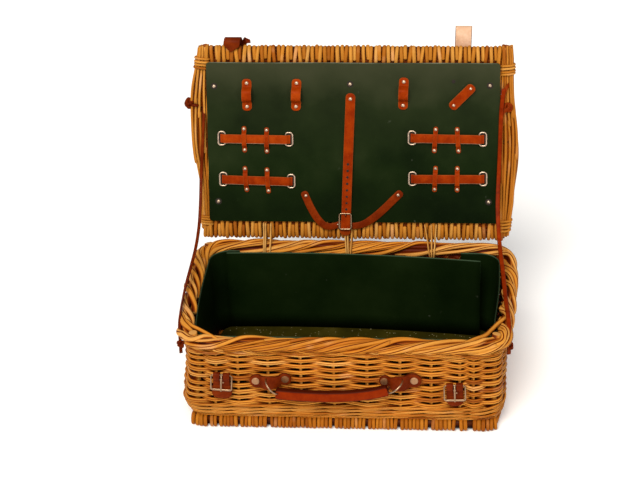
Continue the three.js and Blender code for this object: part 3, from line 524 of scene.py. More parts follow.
# pale green for a thin line along the lid board's top edge: painted highlight
M_EDGE_HIGHLIGHT = green("board_edge_painted_highlight", ((0.035, 0.038, 0.024), (0.085, 0.092, 0.06), (0.17, 0.18, 0.125)), 0.5, 17.0)
M_LINER = green("liner_leatherette", ((0.0022, 0.0062, 0.0010), (0.0042, 0.0100, 0.0018), (0.007, 0.0145, 0.003)), 0.42)


def felt():
    m, nt, bs = new_mat("floor_felt")
    co = objco(nt)
    a = noise(nt, co, 22.0, 5, 0.6)
    c = ramp(nt, a, [(0.3, (0.016, 0.013, 0.0012)), (0.55, (0.030, 0.024, 0.002)), (0.75, (0.046, 0.036, 0.005))])
    sp = node(nt, "ShaderNodeTexVoronoi", feature="F1")
    sp.inputs["Scale"].default_value = 190.0
    nt.links.new(co, sp.inputs["Vector"])
    crumbs = ramp(nt, sp.outputs["Distance"], [(0.09, (1, 1, 1)), (0.17, (0, 0, 0))])
    keep = ramp(nt, noise(nt, co, 41.0, 2), [(0.50, (0, 0, 0)), (0.56, (1, 1, 1))])
    c = mix(nt, "MIX", mix(nt, "MULTIPLY", 1.0, crumbs, keep), c, (0.42, 0.36, 0.2))
    nt.links.new(c, bs.inputs["Base Color"])
    bs.inputs["Roughness"].default_value = 0.95
    bs.inputs["Specular IOR Level"].default_value = 0.02
    bump(nt, bs, noise(nt, co, 900.0, 3), 0.0008, 0.5)
    return m


M_FELT = felt()


# near-black for holes, slots and recesses: painted shade
def dark_hole():
    m, nt, bs = new_mat("hole_painted_shade")
    co = objco(nt)
    c = ramp(nt, noise(nt, co, 900.0, 2), [(0.3, (0.006, 0.003, 0.001)), (0.7, (0.016, 0.008, 0.002))])
    nt.links.new(c, bs.inputs["Base Color"])
    bs.inputs["Roughness"].default_value = 0.9
    return m


M_HOLE_SHADE = dark_hole()


def assign(node_name, mat):
    o = NODES[node_name]
    o.data.materials.clear()
    o.data.materials.append(mat)


# ------------------------------------------------------------------ base perimeter
PW, PD, PR = 254.0, 153.0, 44.0  # middle of the woven wall
LF, LS, LA = 2 * (PW - PR), 2 * (PD - PR), math.pi / 2 * PR
PER = 2 * (LF + LS) + 4 * LA


def perim(s, off=0.0):
    """Points and outward normals at arc positions s; s = 0 at the left end of the straight front."""
    s = np.mod(np.asarray(s, float), PER)
    off = np.broadcast_to(np.asarray(off, float), s.shape)
    x, y, nx, ny = (np.zeros_like(s) for _ in range(4))
    segs = [
        ("l", LF, (-(PW - PR), -PD), (1, 0), (0, -1)),
        ("a", LA, (PW - PR, -(PD - PR)), -90, None),
        ("l", LS, (PW, -(PD - PR)), (0, 1), (1, 0)),
        ("a", LA, (PW - PR, PD - PR), 0, None),
        ("l", LF, (PW - PR, PD), (-1, 0), (0, 1)),
        ("a", LA, (-(PW - PR), PD - PR), 90, None),
        ("l", LS, (-PW, PD - PR), (0, -1), (-1, 0)),
        ("a", LA, (-(PW - PR), -(PD - PR)), 180, None),
    ]
    s0 = 0.0
    for kind, L, p, d, n in segs:
        k = (s >= s0 - 1e-9) & (s < s0 + L + 1e-9)
        u = s[k] - s0
        if kind == "l":
            x[k], y[k] = p[0] + d[0] * u, p[1] + d[1] * u
            nx[k], ny[k] = n
        else:
            a = np.radians(d) + u / PR
            nx[k], ny[k] = np.cos(a), np.sin(a)
            x[k], y[k] = p[0] + PR * nx[k], p[1] + PR * ny[k]
        s0 += L
    return np.stack([x + nx * off, y + ny * off], -1), np.stack([nx, ny, np.zeros_like(nx)], -1)


def ease(t):
    t = np.clip(t, 0, 1)
    return t * t * (3 - 2 * t)


def spread(P, end_front=-2.0, end_back=8.5, back=12.0):
    """The woven top has spread with use: the back leans out, the ends widen towards it."""
    P = np.array(P, float)
    x, y, z = P[:, 0].copy(), P[:, 1].copy(), P[:, 2]
    f = np.clip((z - 18) / 142, 0, 1.1)
    end = (end_front + (end_back - end_front) * ease((y + 130) / 190)) * f * np.clip((np.abs(x) - 165) / 75, 0, 1)
    low = np.where(x < 0, 8.5 * np.exp(-(((z - 45) / 36) ** 2)) * np.clip((-x - 165) / 75, 0, 1), 0)
    bow = np.where(x < 0, 4.5 * f * np.exp(-(((y + 70) / 95) ** 2)) * np.clip((-x - 165) / 75, 0, 1), 0)
    P[:, 0] = x + np.sign(x) * end - low - bow
    P[:, 1] = np.where(y > 0, y + back * f * y / 153.5, y)
    return P


def sideness(s):
    """1 along the two ends of the basket, 0 along front and back."""
    _, n = perim(s)
    return ease((np.abs(n[:, 0]) - 0.25) / 0.65)


CORNERS = [LF + LA / 2, LF + 1.5 * LA + LS, 2 * LF + 2.5 * LA + LS, 2 * LF + 3.5 * LA + 2 * LS]
front_x = np.array([-207.0, -172, -123, -70, -17, 37, 90, 140, 186, 208])
side_u = np.array([6.0, 57, 109, 161, 212])
STAKES = np.concatenate([
    front_x + LF / 2, [CORNERS[0]],
    LF + LA + side_u, [CORNERS[1]],
    LF + 2 * LA + LS + (LF / 2 - front_x[::-1]), [CORNERS[2]],
    2 * LF + 3 * LA + LS + side_u, [CORNERS[3]],
])
NS = len(STAKES)
IS_POST = np.isin(STAKES, CORNERS)


def flare(z):
    return np.interp(z, [0, 18, 28, 46, 100, 150], [-12, -9.5, -4, 0, 0.3, 0])


# ------------------------------------------------------------------ base: woven wall
def weave_wall():
    b = Builder()
    # upright stakes
    for i, s in enumerate(STAKES):
        z = np.linspace(14, 150, 9)
        xy, nn = perim(np.full(9, s), flare(z))
        if IS_POST[i]:
            continue
        b.tube(spread(np.c_[xy, z]), 2.6, nn, sides=8, tint=rng.uniform(0.55, 0.95))
    amp_out = np.where(IS_POST, 9.0, 5.0)
    amp_in = np.where(IS_POST, 9.0, 5.4)
    ext_s = np.r_[STAKES, STAKES + PER]
    out_e, in_e = np.r_[amp_out, amp_out], np.r_[amp_in, amp_in]

    def weaver(i0, i1, sign_of, z_of, ra, rb_of, tint, per=8, mid=1.0, behind=0.78, wob_z=0.35):
        """A rod from stake i0 to i1; sign_of gives in front or behind at each stake."""
        s, d, zz, rb = [], [], [], []

        def depth(i):
            sg = sign_of(i)
            return sg * (out_e[i] if sg > 0 else in_e[i])

        def tall(i):
            return rb_of(i) * (0.94 if sign_of(i) > 0 else behind)

        for i in range(i0, i1):
            a, e = ext_s[i], ext_s[i + 1]
            u = np.linspace(0, 1, per, endpoint=False)
            w = 0.4 * (0.5 - 0.5 * np.cos(np.pi * u)) + 0.6 * u
            s.append(a + (e - a) * u)
            d.append(depth(i) * (1 - w) + depth(i + 1) * w)
            zz.append(z_of(i) * (1 - w) + z_of(i + 1) * w)
            rb.append((tall(i) * (1 - w) + tall(i + 1) * w) * (1 - (1 - mid) * np.sin(np.pi * u)))
        s, d, zz, rb = (np.concatenate(q) for q in (s, d, zz, rb))
        n = len(s)
        taper = np.linspace(1.09, 0.9, n)
        if rng.random() < 0.5:
            taper = taper[::-1]
        k = max(3, (i1 - i0) // 2 + 2)
        zz = zz + np.interp(np.arange(n), np.linspace(0, n - 1, k), rng.normal(0, wob_z, k))
        xy, nn = perim(s, np.maximum(d + flare(zz), -11.0))
        # painted shade: where the rod passes behind a stake it is darkened, so the slits beside the stakes read dark
        b.tube(spread(np.c_[xy, zz]), ra * taper, nn, rb=rb * taper, sides=10, tint=tint, deep=np.clip(-d / 5.4, 0, 1))

    # waled band round the foot of the wall: three rods per row, each over two stakes and under one
    for row, z0 in enumerate((21.2, 28.6, 36.0, 43.3)):
        for ph in range(3):
            def sg(i, ph=ph, row=row):
                return -1.0 if (i + ph + row) % 3 == 0 else 1.0

            def zz(i, ph=ph, row=row, z0=z0):
                k = (i + ph + row) % 3
                return z0 + (0.1, -1.6, 1.6)[k] + 0.5 * math.sin(i * 2.1 + row)

            i = 12 + ph
            while sg(i) > 0:
                i += 1
            stop = i + NS
            while i < stop:
                j = min(stop, i + int(rng.integers(7, 12)))
                while j < stop and sg(j) > 0:
                    j += 1
                weaver(i, j, sg, zz, 2.5, lambda i, q=rng.uniform(1.7, 2.1): q, rng.beta(1.8, 1.5), behind=0.95, wob_z=0.35)
                i = j
    # randed rows
    z = 49.5
    pitch = [5.3, 5.4, 5.5, 5.6, 5.8, 6.1, 6.4, 6.5, 6.4, 6.2, 5.9, 5.6, 5.4, 5.2, 5.1, 5.0, 4.9]
    for j, p in enumerate(pitch):
        ph = rng.normal(0, 0.6, NS)
        z_row = z

        def sg(i, j=j):
            return 1.0 if (i + j) % 2 else -1.0

        def zz(i, z_row=z_row, ph=ph):
            return z_row + ph[i % NS]

        i = 11 + int(rng.integers(0, 9))
        i += 1 if sg(i) > 0 else 0
        stop = i + NS
        while i < stop:
            k = i + int(rng.integers(6, 13))
            k = min(stop, k + 1 if sg(k) > 0 else k)
            if stop - k < 4:
                k = stop
            rbh = (p * 0.5 + 0.95) * rng.uniform(0.9, 1.1)
            weaver(i, k, sg, zz, 3.1, lambda i, q=rbh: q, rng.beta(1.7, 1.5))
            i = k
        z += p
    # a wale under the border
    for ph in range(3):
        def sg(i, ph=ph):
            return -1.0 if (i + ph) % 3 == 0 else 1.0

        def zz(i, ph=ph):
            return 144.5 + (0.0, 1.5, -1.5)[(i + ph) % 3]

        i = 14 + ph
        weaver(i, i + NS, sg, zz, 2.6, lambda i: 2.6, rng.beta(2.0, 1.9), behind=1.0)
    b.obj("base_weave", [M_WALL], "base", "wicker", ["base_wall"])


weave_wall()


# ------------------------------------------------------------------ base: rolled border and corner posts
def border():
    b = Builder()
    spare = Builder()
    pairs = 31
    step = PER / pairs
    RZ = 158.0
    # the strands wind over in a shorter length along the ends, a longer one at the back
    way = np.linspace(0, 3 * PER, 7501)
    _, wn = perim(way)
    local = step * (4.4 - 1.9 * sideness(way) + 0.4 * ease((wn[:, 1] - 0.2) / 0.6))
    wound = np.r_[0, np.cumsum(np.diff(way) / local[1:])]
    for k in range(2 * pairs):
        second = k % 2
        s0 = (k // 2) * step + (step * 0.44 if second else 0.0) + rng.normal(0, 3.0)
        turn0 = np.interp(s0 + PER, way, wound)
        n = 56
        t = np.linspace(0, 1, n)
        s = np.interp(turn0 + t * (1 + rng.normal(0, 0.05)), wound, way)
        sd = sideness(s)
        # out of the wall, up across the outer face, over the top and down inside
        _, nn = perim(s)
        rear = float(ease((nn[n // 2, 1] - 0.2) / 0.6))
        ph = -62 + (268 + 22 * rear) * t + rng.normal(0, 4.0) + 9.0 * np.sin(t * 9.0 + rng.uniform(0, 6))
        # strands part round a front corner post
        for cs in (CORNERS[0], CORNERS[3]):
            ds = np.mod(s - cs + PER / 2, PER) - PER / 2
            m = int(np.argmin(np.abs(ds)))
            if abs(ds[m]) < 45:
                sgn = 1.0 if ph[m] > 90 else -1.0
                ph = ph + sgn * np.exp(-((ds / 18.0) ** 2)) * np.maximum(0, 46 - sgn * (ph - 90))
        ph = np.radians(ph)
        crest = np.exp(-(((np.degrees(ph) - 92) / 30) ** 2))
        a = (9.2 - 2.8 * sd) + (-0.6 if second else 1.2) + 1.1 * np.sin(t * 9 + rng.uniform(0, 6))
        wide = sd * np.where(nn[:, 0] < 0, 4.6, 2.4)
        off = 1.0 + 4.8 * sd + a * np.cos(ph) - wide * np.clip(-np.cos(ph), 0, 1)
        z = RZ + (9.0 - 0.6 * sd) * np.sin(ph) + (rng.uniform(-0.6, 0.3) if second else rng.uniform(1.2, 3.2)) * crest * (1 - 0.4 * sd) + 0.9 * np.sin(s * 0.055 + k)
        # the strand starts behind its neighbour and turns out over it
        st = np.clip(1 - t / 0.12, 0, 1) ** 1.3
        off = off * (1 - st) + (-4.5) * st
        z = z - 4.0 * st
        xy, nn = perim(s, off)
        rad = np.linspace(4.1, 3.4, n) * rng.uniform(0.9, 1.1) * (0.85 if second else 1.06)
        rad = rad * (1 + 0.3 * sd + 0.08 * rear)
        rad[-3:] *= (0.95, 0.9, 0.8)
        nv = nn * np.cos(ph)[:, None] + Z * np.sin(ph)[:, None]
        P = spread(np.c_[xy, z])
        P[:, 2] += 2.2 * np.clip(P[:, 1] / 150, 0, 1)
        # painted light: strands along the ends and the back get paler tints, to brighten them where they are lit less
        tint = min(1.0, rng.beta(2.0, 1.6) + 0.3 * float(sd.mean()) + 0.2 * rear)
        # along the two ends every other thin strand is left out, so the rest lie apart
        into = spare if second and k % 4 == 1 and float(sd.mean()) > 0.6 else b
        if rng.random() < 0.22:
            # two rods butted end to end
            m = int(n * rng.uniform(0.3, 0.6))
            into.tube(P[:m], rad[:m] * 0.95, nv[:m], rb=rad[:m], sides=10, tint=tint)
            into.tube(P[m - 1:] + np.array([0, 0, 0.6]), rad[m - 1:] * 0.93, nv[m - 1:], rb=rad[m - 1:] * 0.97, sides=10, tint=rng.beta(2.0, 1.6))
        else:
            # painted shade: along the front the thinner second strands are darkened a little, the others barely
            front = max(0.0, 1.0 - float(sd.mean()) - rear)
            into.tube(P, rad * 0.95, nv, rb=rad, sides=10, tint=tint, deep=(0.16 if second else 0.02) * front)
    # short ends turned down across the foot of the border
    for k in range(pairs + 6):
        s0 = k * PER / (pairs + 6) + rng.normal(0, 5.0)
        t = np.linspace(0, 1, 12)
        L = rng.uniform(20, 34)
        s = s0 + L * t
        sd = sideness(s)
        off = 2.5 + 3.4 * sd + (5.6 - 2.0 * sd) * np.sin(np.pi * (0.15 + 0.8 * t))
        z = 154.5 - rng.uniform(5.0, 9.0) * t + rng.normal(0, 0.8)
        xy, nn = perim(s, off)
        b.tube(spread(np.c_[xy, z]), np.linspace(3.6, 3.0, 12), nn, sides=10, tint=rng.beta(2.0, 1.4))
    # rods laid behind, closing the wall up to the border; they are darkened, less so at the back: painted shade
    s = np.linspace(0, PER, 160, endpoint=False)
    rear = ease((perim(s)[1][:, 1] - 0.2) / 0.6)
    for zz, o in ((150.2, -1.6), (155.0, -3.0)):
        xy, nn = perim(s, o + 2.0 * sideness(s))
        b.tube(spread(np.c_[xy, np.full(160, zz)]), 2.2, nn, rb=3.4, sides=8, tint=0.5, closed=True, deep=0.22 - 0.2 * rear)
    # core under the strands; it is darkened where it shows between them, less at the back and ends: painted shade
    s = np.linspace(0, PER, 160, endpoint=False)
    sd = sideness(s)
    xy, nn = perim(s, 1.0 + 4.8 * sd)
    b.tube(spread(np.c_[xy, np.full(160, RZ)]), 6.6 - 2.6 * sd, nn, rb=np.full(160, 6.2), sides=8, tint=0.4, closed=True, deep=np.clip(0.7 - 0.6 * rear - 0.3 * sd, 0.05, 1))
    xy, nn = perim(s, 0.6 + 4.6 * sd)
    P = spread(np.c_[xy, np.full(160, RZ + 5.6)])
    P[:, 2] += 2.2 * np.clip(P[:, 1] / 150, 0, 1)
    b.tube(P, 5.4 - 1.2 * sd, nn, rb=np.full(160, 4.2), sides=8, tint=0.5, closed=True, deep=np.clip(0.55 - 0.5 * rear - 0.3 * sd, 0.05, 1))
    # at the front corners a rod cuts across inside the post
    for pts, r in (
        ([(-264, -92, 164.5), (-257, -104, 169.6), (-246.5, -120.5, 171.0), (-231.8, -133.2, 171.2), (-214, -147.4, 170.0), (-200, -154.5, 164.5), (-187, -158.5, 156.5)], 3.4),
        ([(194, -154, 166), (211, -147, 170.2), (225.5, -137.5, 171.2), (235, -120.5, 171.2), (245, -101, 171.0), (254.5, -84, 169.8), (261, -66, 164)], 3.8),
    ):
        b.tube(spline(pts, 30), np.linspace(1.04, 0.94, 30) * r, Z, sides=10, tint=rng.uniform(0.5, 0.8))
    o = b.obj("base_border", [M_RIM], "base", "wicker", ["base_rim"])
    # corner posts with pale cut tops
    c = Builder()
    tops = [(243.8, -132.0, 171.6), (255.0, 150.0, 173.5), (-256.0, 157.0, 173.5), (-243.4, -141.2, 171.4)]
    for s, top in zip(CORNERS, tops):
        xy, nn = perim(np.array([s]), flare(30.0))
        low = spread(np.array([(xy[0, 0], xy[0, 1], q) for q in (16.0, 60.0, 100.0)]))
        p = spline(list(low) + [(top[0] * 0.45 + low[2, 0] * 0.55, top[1] * 0.45 + low[2, 1] * 0.55, 142), top], 14)
        c.tube(p, np.r_[np.full(12, 7.4), 7.4, 7.1], X, sides=18, tint=0.86)
    c.obj("base_corner_posts", [M_RIM], "base", "wicker")


border()


# ------------------------------------------------------------------ base: bottom panel and foot stubs
def foot():
    b = Builder()
    hw, hd, sx = 251.0, 160.0, -3.0
    x, stake_gap = -hw + 3.0, [-222.0] + list(front_x) + [224.0]
    while x < hw - 2:
        w = rng.uniform(5.4, 7.0)
        near = min(stake_gap, key=lambda g: abs(x - g))
        if abs(x - near) < 3.0:  # a stake comes down here: a dark gap
            x = near + 2.5 + w / 2
            continue
        e = max(0.0, abs(x) - (hw - 22.0))
        yy = hd - 22.0 + math.sqrt(max(22.0**2 - (e * 0.8) ** 2, 4.0))
        ra, low = w * 0.5, rng.uniform(2.3, 3.8)
        jx = rng.normal(0, 0.7)
        topz = 18.0
        c = x + sx
        f = [(c + jx, -yy + 18, topz - 1), (c + jx * 0.6, -yy + 6.5, topz - 0.6), (c + jx * 0.3, -yy + 3.4, topz - 4), (c, -yy + 2.9, low + 3.2), (c, -yy + 4.6, low + 0.4), (c, -yy + 10, low)]
        back = [(px, -py, pz) for px, py, pz in f[::-1]]
        p = np.concatenate([spline(f, 12), spline(np.linspace(f[-1], back[0], 3), 5)[1:-1], spline(back, 12)])
        b.tube(p, ra, X, rb=min(ra, 2.4), sides=10, tint=rng.beta(1.5, 1.8))
        x += w * rng.uniform(1.0, 1.06)
    # a dark bar close behind the stubs at front and back, seen between them where a stake comes down: painted shade
    for y in (-148.5, 148.5):
        b.tube(spline([(-hw + 12, y, 9.6), (0, y, 9.6), (hw - 16, y, 9.6)], 10), 7.6, Z, rb=5.6, sides=8, tint=0.05, mat=1)
    # cross sticks inside and side rods round the ends
    for y in np.linspace(-128, 128, 6):
        b.tube(spline([(-hw + 8, y, 9.5), (0, y, 9.5), (hw - 8, y, 9.5)], 8), 4.4, Z, sides=8, tint=rng.uniform(0.2, 0.6))
    for sgn in (-1, 1):
        for j, (zz, dx) in enumerate(((3.4, 0.0), (8.6, 1.2), (14.0, 2.6))):
            a = np.linspace(-1, 1, 22)
            y = a * (hd - 14)
            x = sgn * (hw - 3 + dx - 16 * np.clip(np.abs(a) - 0.8, 0, 1) ** 1.6 * 6.2)
            b.tube(np.c_[x, y, np.full(22, zz)], rng.uniform(2.9, 3.2), Z, sides=8, tint=rng.beta(2, 2))
    b.obj("base_foot", [M_FOOT, M_STICK_SHADE], "base", "wicker", ["base_bottom"])


foot()


# ------------------------------------------------------------------ lid: square work
def lid_weave():
    b = Builder()
    mid = -10.5
    sticks = [3.2, 58.0, 113.0, 168.0, 223.0, 278.0, 326.4]
    for k, v in enumerate(sticks):
        n = 26
        x = np.linspace(-266, 266, n) if 0 < k < 6 else np.linspace(-258, 258, n)
        p = lidp(x, v + rng.normal(0, 0.5, n).cumsum() * 0.12, mid)
        # the lid's end sticks take the near-black stick material: painted shade in the gaps between the hooks
        b.tube(p, 4.3 if 0 < k < 6 else 4.9, LID_N, sides=8, tint=rng.uniform(0.2, 0.7), mat=1)
    # filler rods behind the weave close the see-through gaps near both lid ends and are darkened: painted shade
    for v, hh in ((10.8, -1.2), (18.6, 0.5), (26.4, 0.5), (299.0, 0.5), (306.0, -0.5), (312.6, -1.0), (319.0, -1.5)):
        p = lidp(np.linspace(-262, 262, 20), v + 0.3 * np.sin(np.linspace(0, 9, 20)), mid + hh)
        b.tube(p, 4.0, LID_N, rb=4.8, sides=8, tint=rng.uniform(0.3, 0.8), deep=0.3 if 22 < v < 100 else 0.8)
    n_rod = 71
    pitch = 504.0 / (n_rod - 1)
    for i in range(n_rod):
        x0 = -252 + i * pitch + rng.normal(0, 0.4)
        rad = rng.uniform(3.15, 3.7)
        side = 1 if i % 2 else -1
        amp = 4.3 + rad
        tint = rng.beta(1.7, 1.6)
        lean, lean2 = rng.normal(0, 1.0), rng.normal(0.4, 1.0)
        # rods beside a short one close up towards it
        near = (-1.3, 1.3, 0.0)[i % 3]
        body = [(x0, sticks[k], mid + (side if k % 2 else -side) * amp) for k in range(1, 6)]
        lo_v, hi_v = -3.2 + rng.uniform(-1.2, 0.9), 331.8 + rng.uniform(-1.6, 0.7)

        def rod(pts, n):
            q = spline(pts, n)
            b.tube(lidp(q[:, 0], q[:, 1], q[:, 2]), rad, X, rb=rad * 0.95, sides=8, tint=tint, cap="round")

        if i % 3 != 2:
            low = [(x0 - lean * 0.4, 20.0, mid - amp + 1), (x0 - lean * 0.2, 7.0, mid - amp), (x0, lo_v + 1.0, mid - 4.5), (x0 + lean * 0.2, lo_v + 0.8, mid + 3.6), (x0 + lean * 0.4 + near * 0.3, 7.0, mid + amp), (x0 + near, 27.0, mid + amp - 1.5)]
            top = [(x0 + near, 303.0, mid + amp - 2.2), (x0 + near * 0.4 + lean2 * 0.5, 318.0, mid + amp), (x0 + lean2, hi_v - 3.0, mid + 4.8), (x0 + lean2, hi_v - 1.4, mid - 2.0), (x0 + lean2, 326.8, mid - amp + 1.2), (x0 + lean2, 315.0, mid - amp)]
            if i % 3 == 0:  # its end lies behind the join with the next rod
                top += [(x0 + 3.0, 303.0, mid - amp + 2.5), (x0 + 3.8, 288.0, mid - amp + 4.0)]
            rod(low + body + top, 80)
        else:
            # short body behind the board; the ends beside it hook over the end sticks as stubs
            rod([(x0, 44.0, mid - amp + 2)] + body[0:5] + [(x0, 286.0, mid - amp + 2)], 44)
            rod([(x0 + 2.0, 314.0, mid - amp), (x0 + lean2 * 0.3, 325.8, mid - amp + 1), (x0 + lean2 * 0.5, hi_v - 2.6, mid - 4.5), (x0 + lean2 * 0.6, hi_v - 1.6, mid + 2.0), (x0 + lean2 * 0.8, 326.8, mid + amp - 1.2), (x0 + lean2, 319.0, mid + amp), (x0 + lean2 * 1.2, 310.0 + rng.uniform(-2.5, 2), mid + amp - 1.6)], 30)
            rod([(x0 - 2.0, 20.0, mid - amp), (x0, 6.0, mid - amp + 1), (x0, lo_v + 1.4, mid - 4.0), (x0, lo_v + 1.0, mid + 3.0), (x0 + lean * 0.3, 5.0, mid + amp - 1.0), (x0 + lean * 0.5, 12.0, mid + amp), (x0 + lean * 0.7, 19.0 + rng.uniform(-2, 2.5), mid + amp - 1.6)], 30)
    # edge bundles; the middle layer and the whole right bundle are darkened: painted shade
    for sgn, bulge, v_c, wid, flat in ((-1, 12.4, 203.0, 90.0, 4.0), (1, 9.4, 150.0, 86.0, 2.0)):
        layers = [(x, 5.6, 0.0) for x in (251.2, 255.4, 259.6, 263.6, 267.2)] + [(x, 0.0, 0.6) for x in (251.8, 254.6, 257.4, 260.2, 263.0, 265.6)] + [(x, -5.6, 0.0) for x in (251.2, 255.4, 259.6, 263.6, 267.2)]
        for j, (x0, lift, deep) in enumerate(layers):
            f = (x0 - 251.2) / 16.0
            v0, v1 = (1.0 if sgn > 0 else 9.0) + 4 * rng.random(), 334 - 5 * rng.random()
            # an outer rod is pieced: one cut end lies over the next
            vb = rng.uniform(90, 245)
            spans = [(v0, vb + 5), (vb - 4, v1)] if lift and f > 0.2 else [(v0, v1)]
            ph, fr, am = rng.uniform(0, 6), rng.uniform(0.025, 0.05), rng.uniform(0.4, 1.6)
            shift = rng.normal(0, 0.3)
            for q, (va, ve) in enumerate(spans):
                n = 44 if len(spans) == 1 else 26
                v = np.linspace(va, ve, n)
                bell = np.exp(-(np.abs((v - v_c) / wid) ** flat))
                x = x0 + bulge * bell * f + shift + (0.4 + am * bell) * f * np.sin(v * fr + ph)
                x = x - 2.0 * f * np.clip((v - 310) / 25, 0, 1) - (5.0 if sgn > 0 else 1.5) * f * np.clip((60 - v) / 60, 0, 1)
                x = x + (q - 0.5) * (len(spans) - 1) * 1.6 * np.exp(-(((v - vb) / 14) ** 2))
                h = mid + lift + 0.9 * np.sin(v * 0.05 + j * 1.7) + (q * 1.1 if lift > 0 else -q * 1.1)
                rad = rng.uniform(2.0, 2.5) if deep == 0 else 3.1
                b.tube(lidp(sgn * x, v, h), rad * np.linspace(1.06, 0.92, n), X, sides=8, tint=rng.beta(1.6, 1.3) * (0.8 if sgn > 0 else 1.0), cap="round" if len(spans) == 1 else "cut", deep=max(deep, 0.12 if sgn > 0 else 0.0))
        # skeins bound round the bundle at both corners and lower on the right
        marks = [309.5, 304.5, 299.6, 294.4] if sgn < 0 else [300.0, 295.0, 290.2, 285.6]
        marks += [29.5, 24.2, 18.6, 12.8] if sgn > 0 else [33.0, 28.8, 24.6, 20.4]
        for v in marks:
            th = np.linspace(0, 2 * np.pi, 22, endpoint=False)
            bell = math.exp(-(abs((v - v_c) / wid) ** flat))
            slim = (5.0 if sgn > 0 else 1.5) * max(0.0, (60 - v) / 60)
            cx = 259.4 + bulge * bell * 0.5 - slim * 0.5
            wx = 10.6 + bulge * bell * 0.5 - slim * 0.5 + rng.uniform(-0.2, 0.7)
            x = cx + wx * np.sign(np.cos(th)) * np.abs(np.cos(th)) ** 0.7
            h = mid + 10.4 * np.sign(np.sin(th)) * np.abs(np.sin(th)) ** 0.7
            vv = v + 1.6 * np.cos(th) + rng.normal(0, 0.3)
            b.tube(lidp(sgn * x, vv, h), 2.1, LID_V, rb=2.3, sides=8, tint=rng.beta(2, 1.6), closed=True)
    # the end stick's last two turns on the left
    for x0 in (-263.0, -257.4):
        q = spline([(x0 + 1.5, 19.0, mid - 7.8), (x0, 7.0, mid - 7.6), (x0, -2.0, mid - 4.2), (x0, -2.2, mid + 3.4), (x0 + 0.8, 6.0, mid + 7.6), (x0 + 2.0, 15.5, mid + 7.8)], 30)
        b.tube(lidp(q[:, 0], q[:, 1], q[:, 2]), 3.1, X, sides=8, tint=rng.uniform(0.3, 0.9), cap="round")
    b.obj("lid_weave", [M_LID, M_STICK_SHADE], "lid", "wicker", ["lid_wicker"])


lid_weave()


# ------------------------------------------------------------------ lining
assign("lid_board", M_BOARD)
assign("liner_floor", M_FELT)


def board_strip(b, xy, z0, z1, t, nrm, flare_fn=None, rows=6):
    """Stiff covered board standing on its edge along xy, with softly rounded top edge."""
    n = len(xy)
    zs = np.r_[np.linspace(z0, z1 - 2.0, rows), z1 - 0.7, z1]
    ins = np.r_[np.zeros(rows), 0.18, 0.55] * t
    V, E = [], []
    for sgn in (1, -1):
        seq = range(len(zs)) if sgn > 0 else range(len(zs) - 1, -1, -1)
        for j in seq:
            o = sgn * (t / 2 - ins[j])
            P = np.c_[xy + nrm * o, np.full(n, zs[j])]
            V.append(flare_fn(P) if flare_fn else P)
            E.append(1.0 if j >= rows else 0.0)
    V = np.array(V)
    m = len(V)
    idx = np.arange(m * n).reshape(m, n)
    quads = []
    for j in range(m):
        k = (j + 1) % m
        quads.append(np.stack([idx[j, :-1], idx[k, :-1], idx[k, 1:], idx[j, 1:]], 1))
    quads = np.concatenate(quads)
    tris = []
    for c in (0, n - 1):
        ring = idx[:, c]
        for j in range(1, m - 1):
            tris.append((ring[0], ring[j], ring[j + 1]) if c else (ring[0], ring[j + 1], ring[j]))
    b.block(V.reshape(-1, 3), quads, np.array(tris), cutend=np.repeat(E, n), tint=rng.random())


def lining():
    b = Builder()
    hw, hd, r = 239.0, 138.0, 31.0
    pts = [(181.0, hd)]
    for cx, cy, a0 in ((hw - r, hd - r, 90), (hw - r, -(hd - r), 0), (-(hw - r), -(hd - r), -90), (-(hw - r), hd - r, -180)):
        for q in range(10):
            a = math.radians(a0 - 10 * q)
            pts.append((cx + r * math.cos(a), cy + r * math.sin(a)))
    pts.append((-196.0, hd))
    pts = np.array(pts)
    d = np.r_[0, np.cumsum(np.linalg.norm(np.diff(pts, axis=0), axis=1))]
    u = np.unique(np.r_[d, np.linspace(0, d[-1], 120)])
    xy = np.stack([np.interp(u, d, pts[:, 0]), np.interp(u, d, pts[:, 1])], -1)
    tan = unit(np.gradient(xy, axis=0))
    nrm = np.stack([-tan[:, 1], tan[:, 0]], -1)
    board_strip(b, xy, 19.0, 164.0, 2.0, nrm, lambda P: spread(P, 0.5, 10.5, 12.0))
    b.obj("liner_wrap_board", [M_LINER], "base", "green", ["liner_wrap"])
    b = Builder()
    # loose back board, bowed a little to the rear
    t = np.linspace(0, 1, 40)
    x = -221 + 438 * t
    y = 130.6 - 19.6 * t + 10.5 * np.sin(np.pi * t) ** 0.9
    xy = np.stack([x, y], -1)
    tan = unit(np.gradient(xy, axis=0))
    nrm = np.stack([-tan[:, 1], tan[:, 0]], -1)
    board_strip(b, xy, 21.0, 169.5, 2.2, nrm)
    b.obj("liner_back_board", [M_LINER], "base", "green", ["liner_back"])


lining()


# ------------------------------------------------------------------ rivets
def rivet(b, c, axis, r=2.7, h=1.5, mat=0, sides=18):
    prof = [(r, -0.4), (r, 0.12), (r * 0.93, 0.32 * h), (r * 0.76, 0.66 * h), (r * 0.5, 0.88 * h), (r * 0.22, 0.98 * h), (0.0, h)]
    b.lathe(c, axis, prof, sides=sides, mat=mat)


def round_ends(s, L, w, r0=None, r1=None):
    """Width along a strap with round ends of radius r0 and r1."""
    out = np.zeros_like(s) + w
    for r, d in ((r0, s), (r1, L - s)):
        if r:
            k = np.clip(d / r, 0, 1)
            out = np.minimum(out, w - 2 * r + 2 * r * np.sqrt(np.clip(1 - (1 - k) ** 2, 0, 1)) + 0.05)
    return np.maximum(out, 0.1)


def end_dense(n):
    """Parameter with more samples near both ends."""
    t = np.linspace(0, 1, n)
    return 0.5 - 0.5 * np.cos(np.pi * t) * (1 - 0.25 * np.sin(np.pi * t) ** 2)


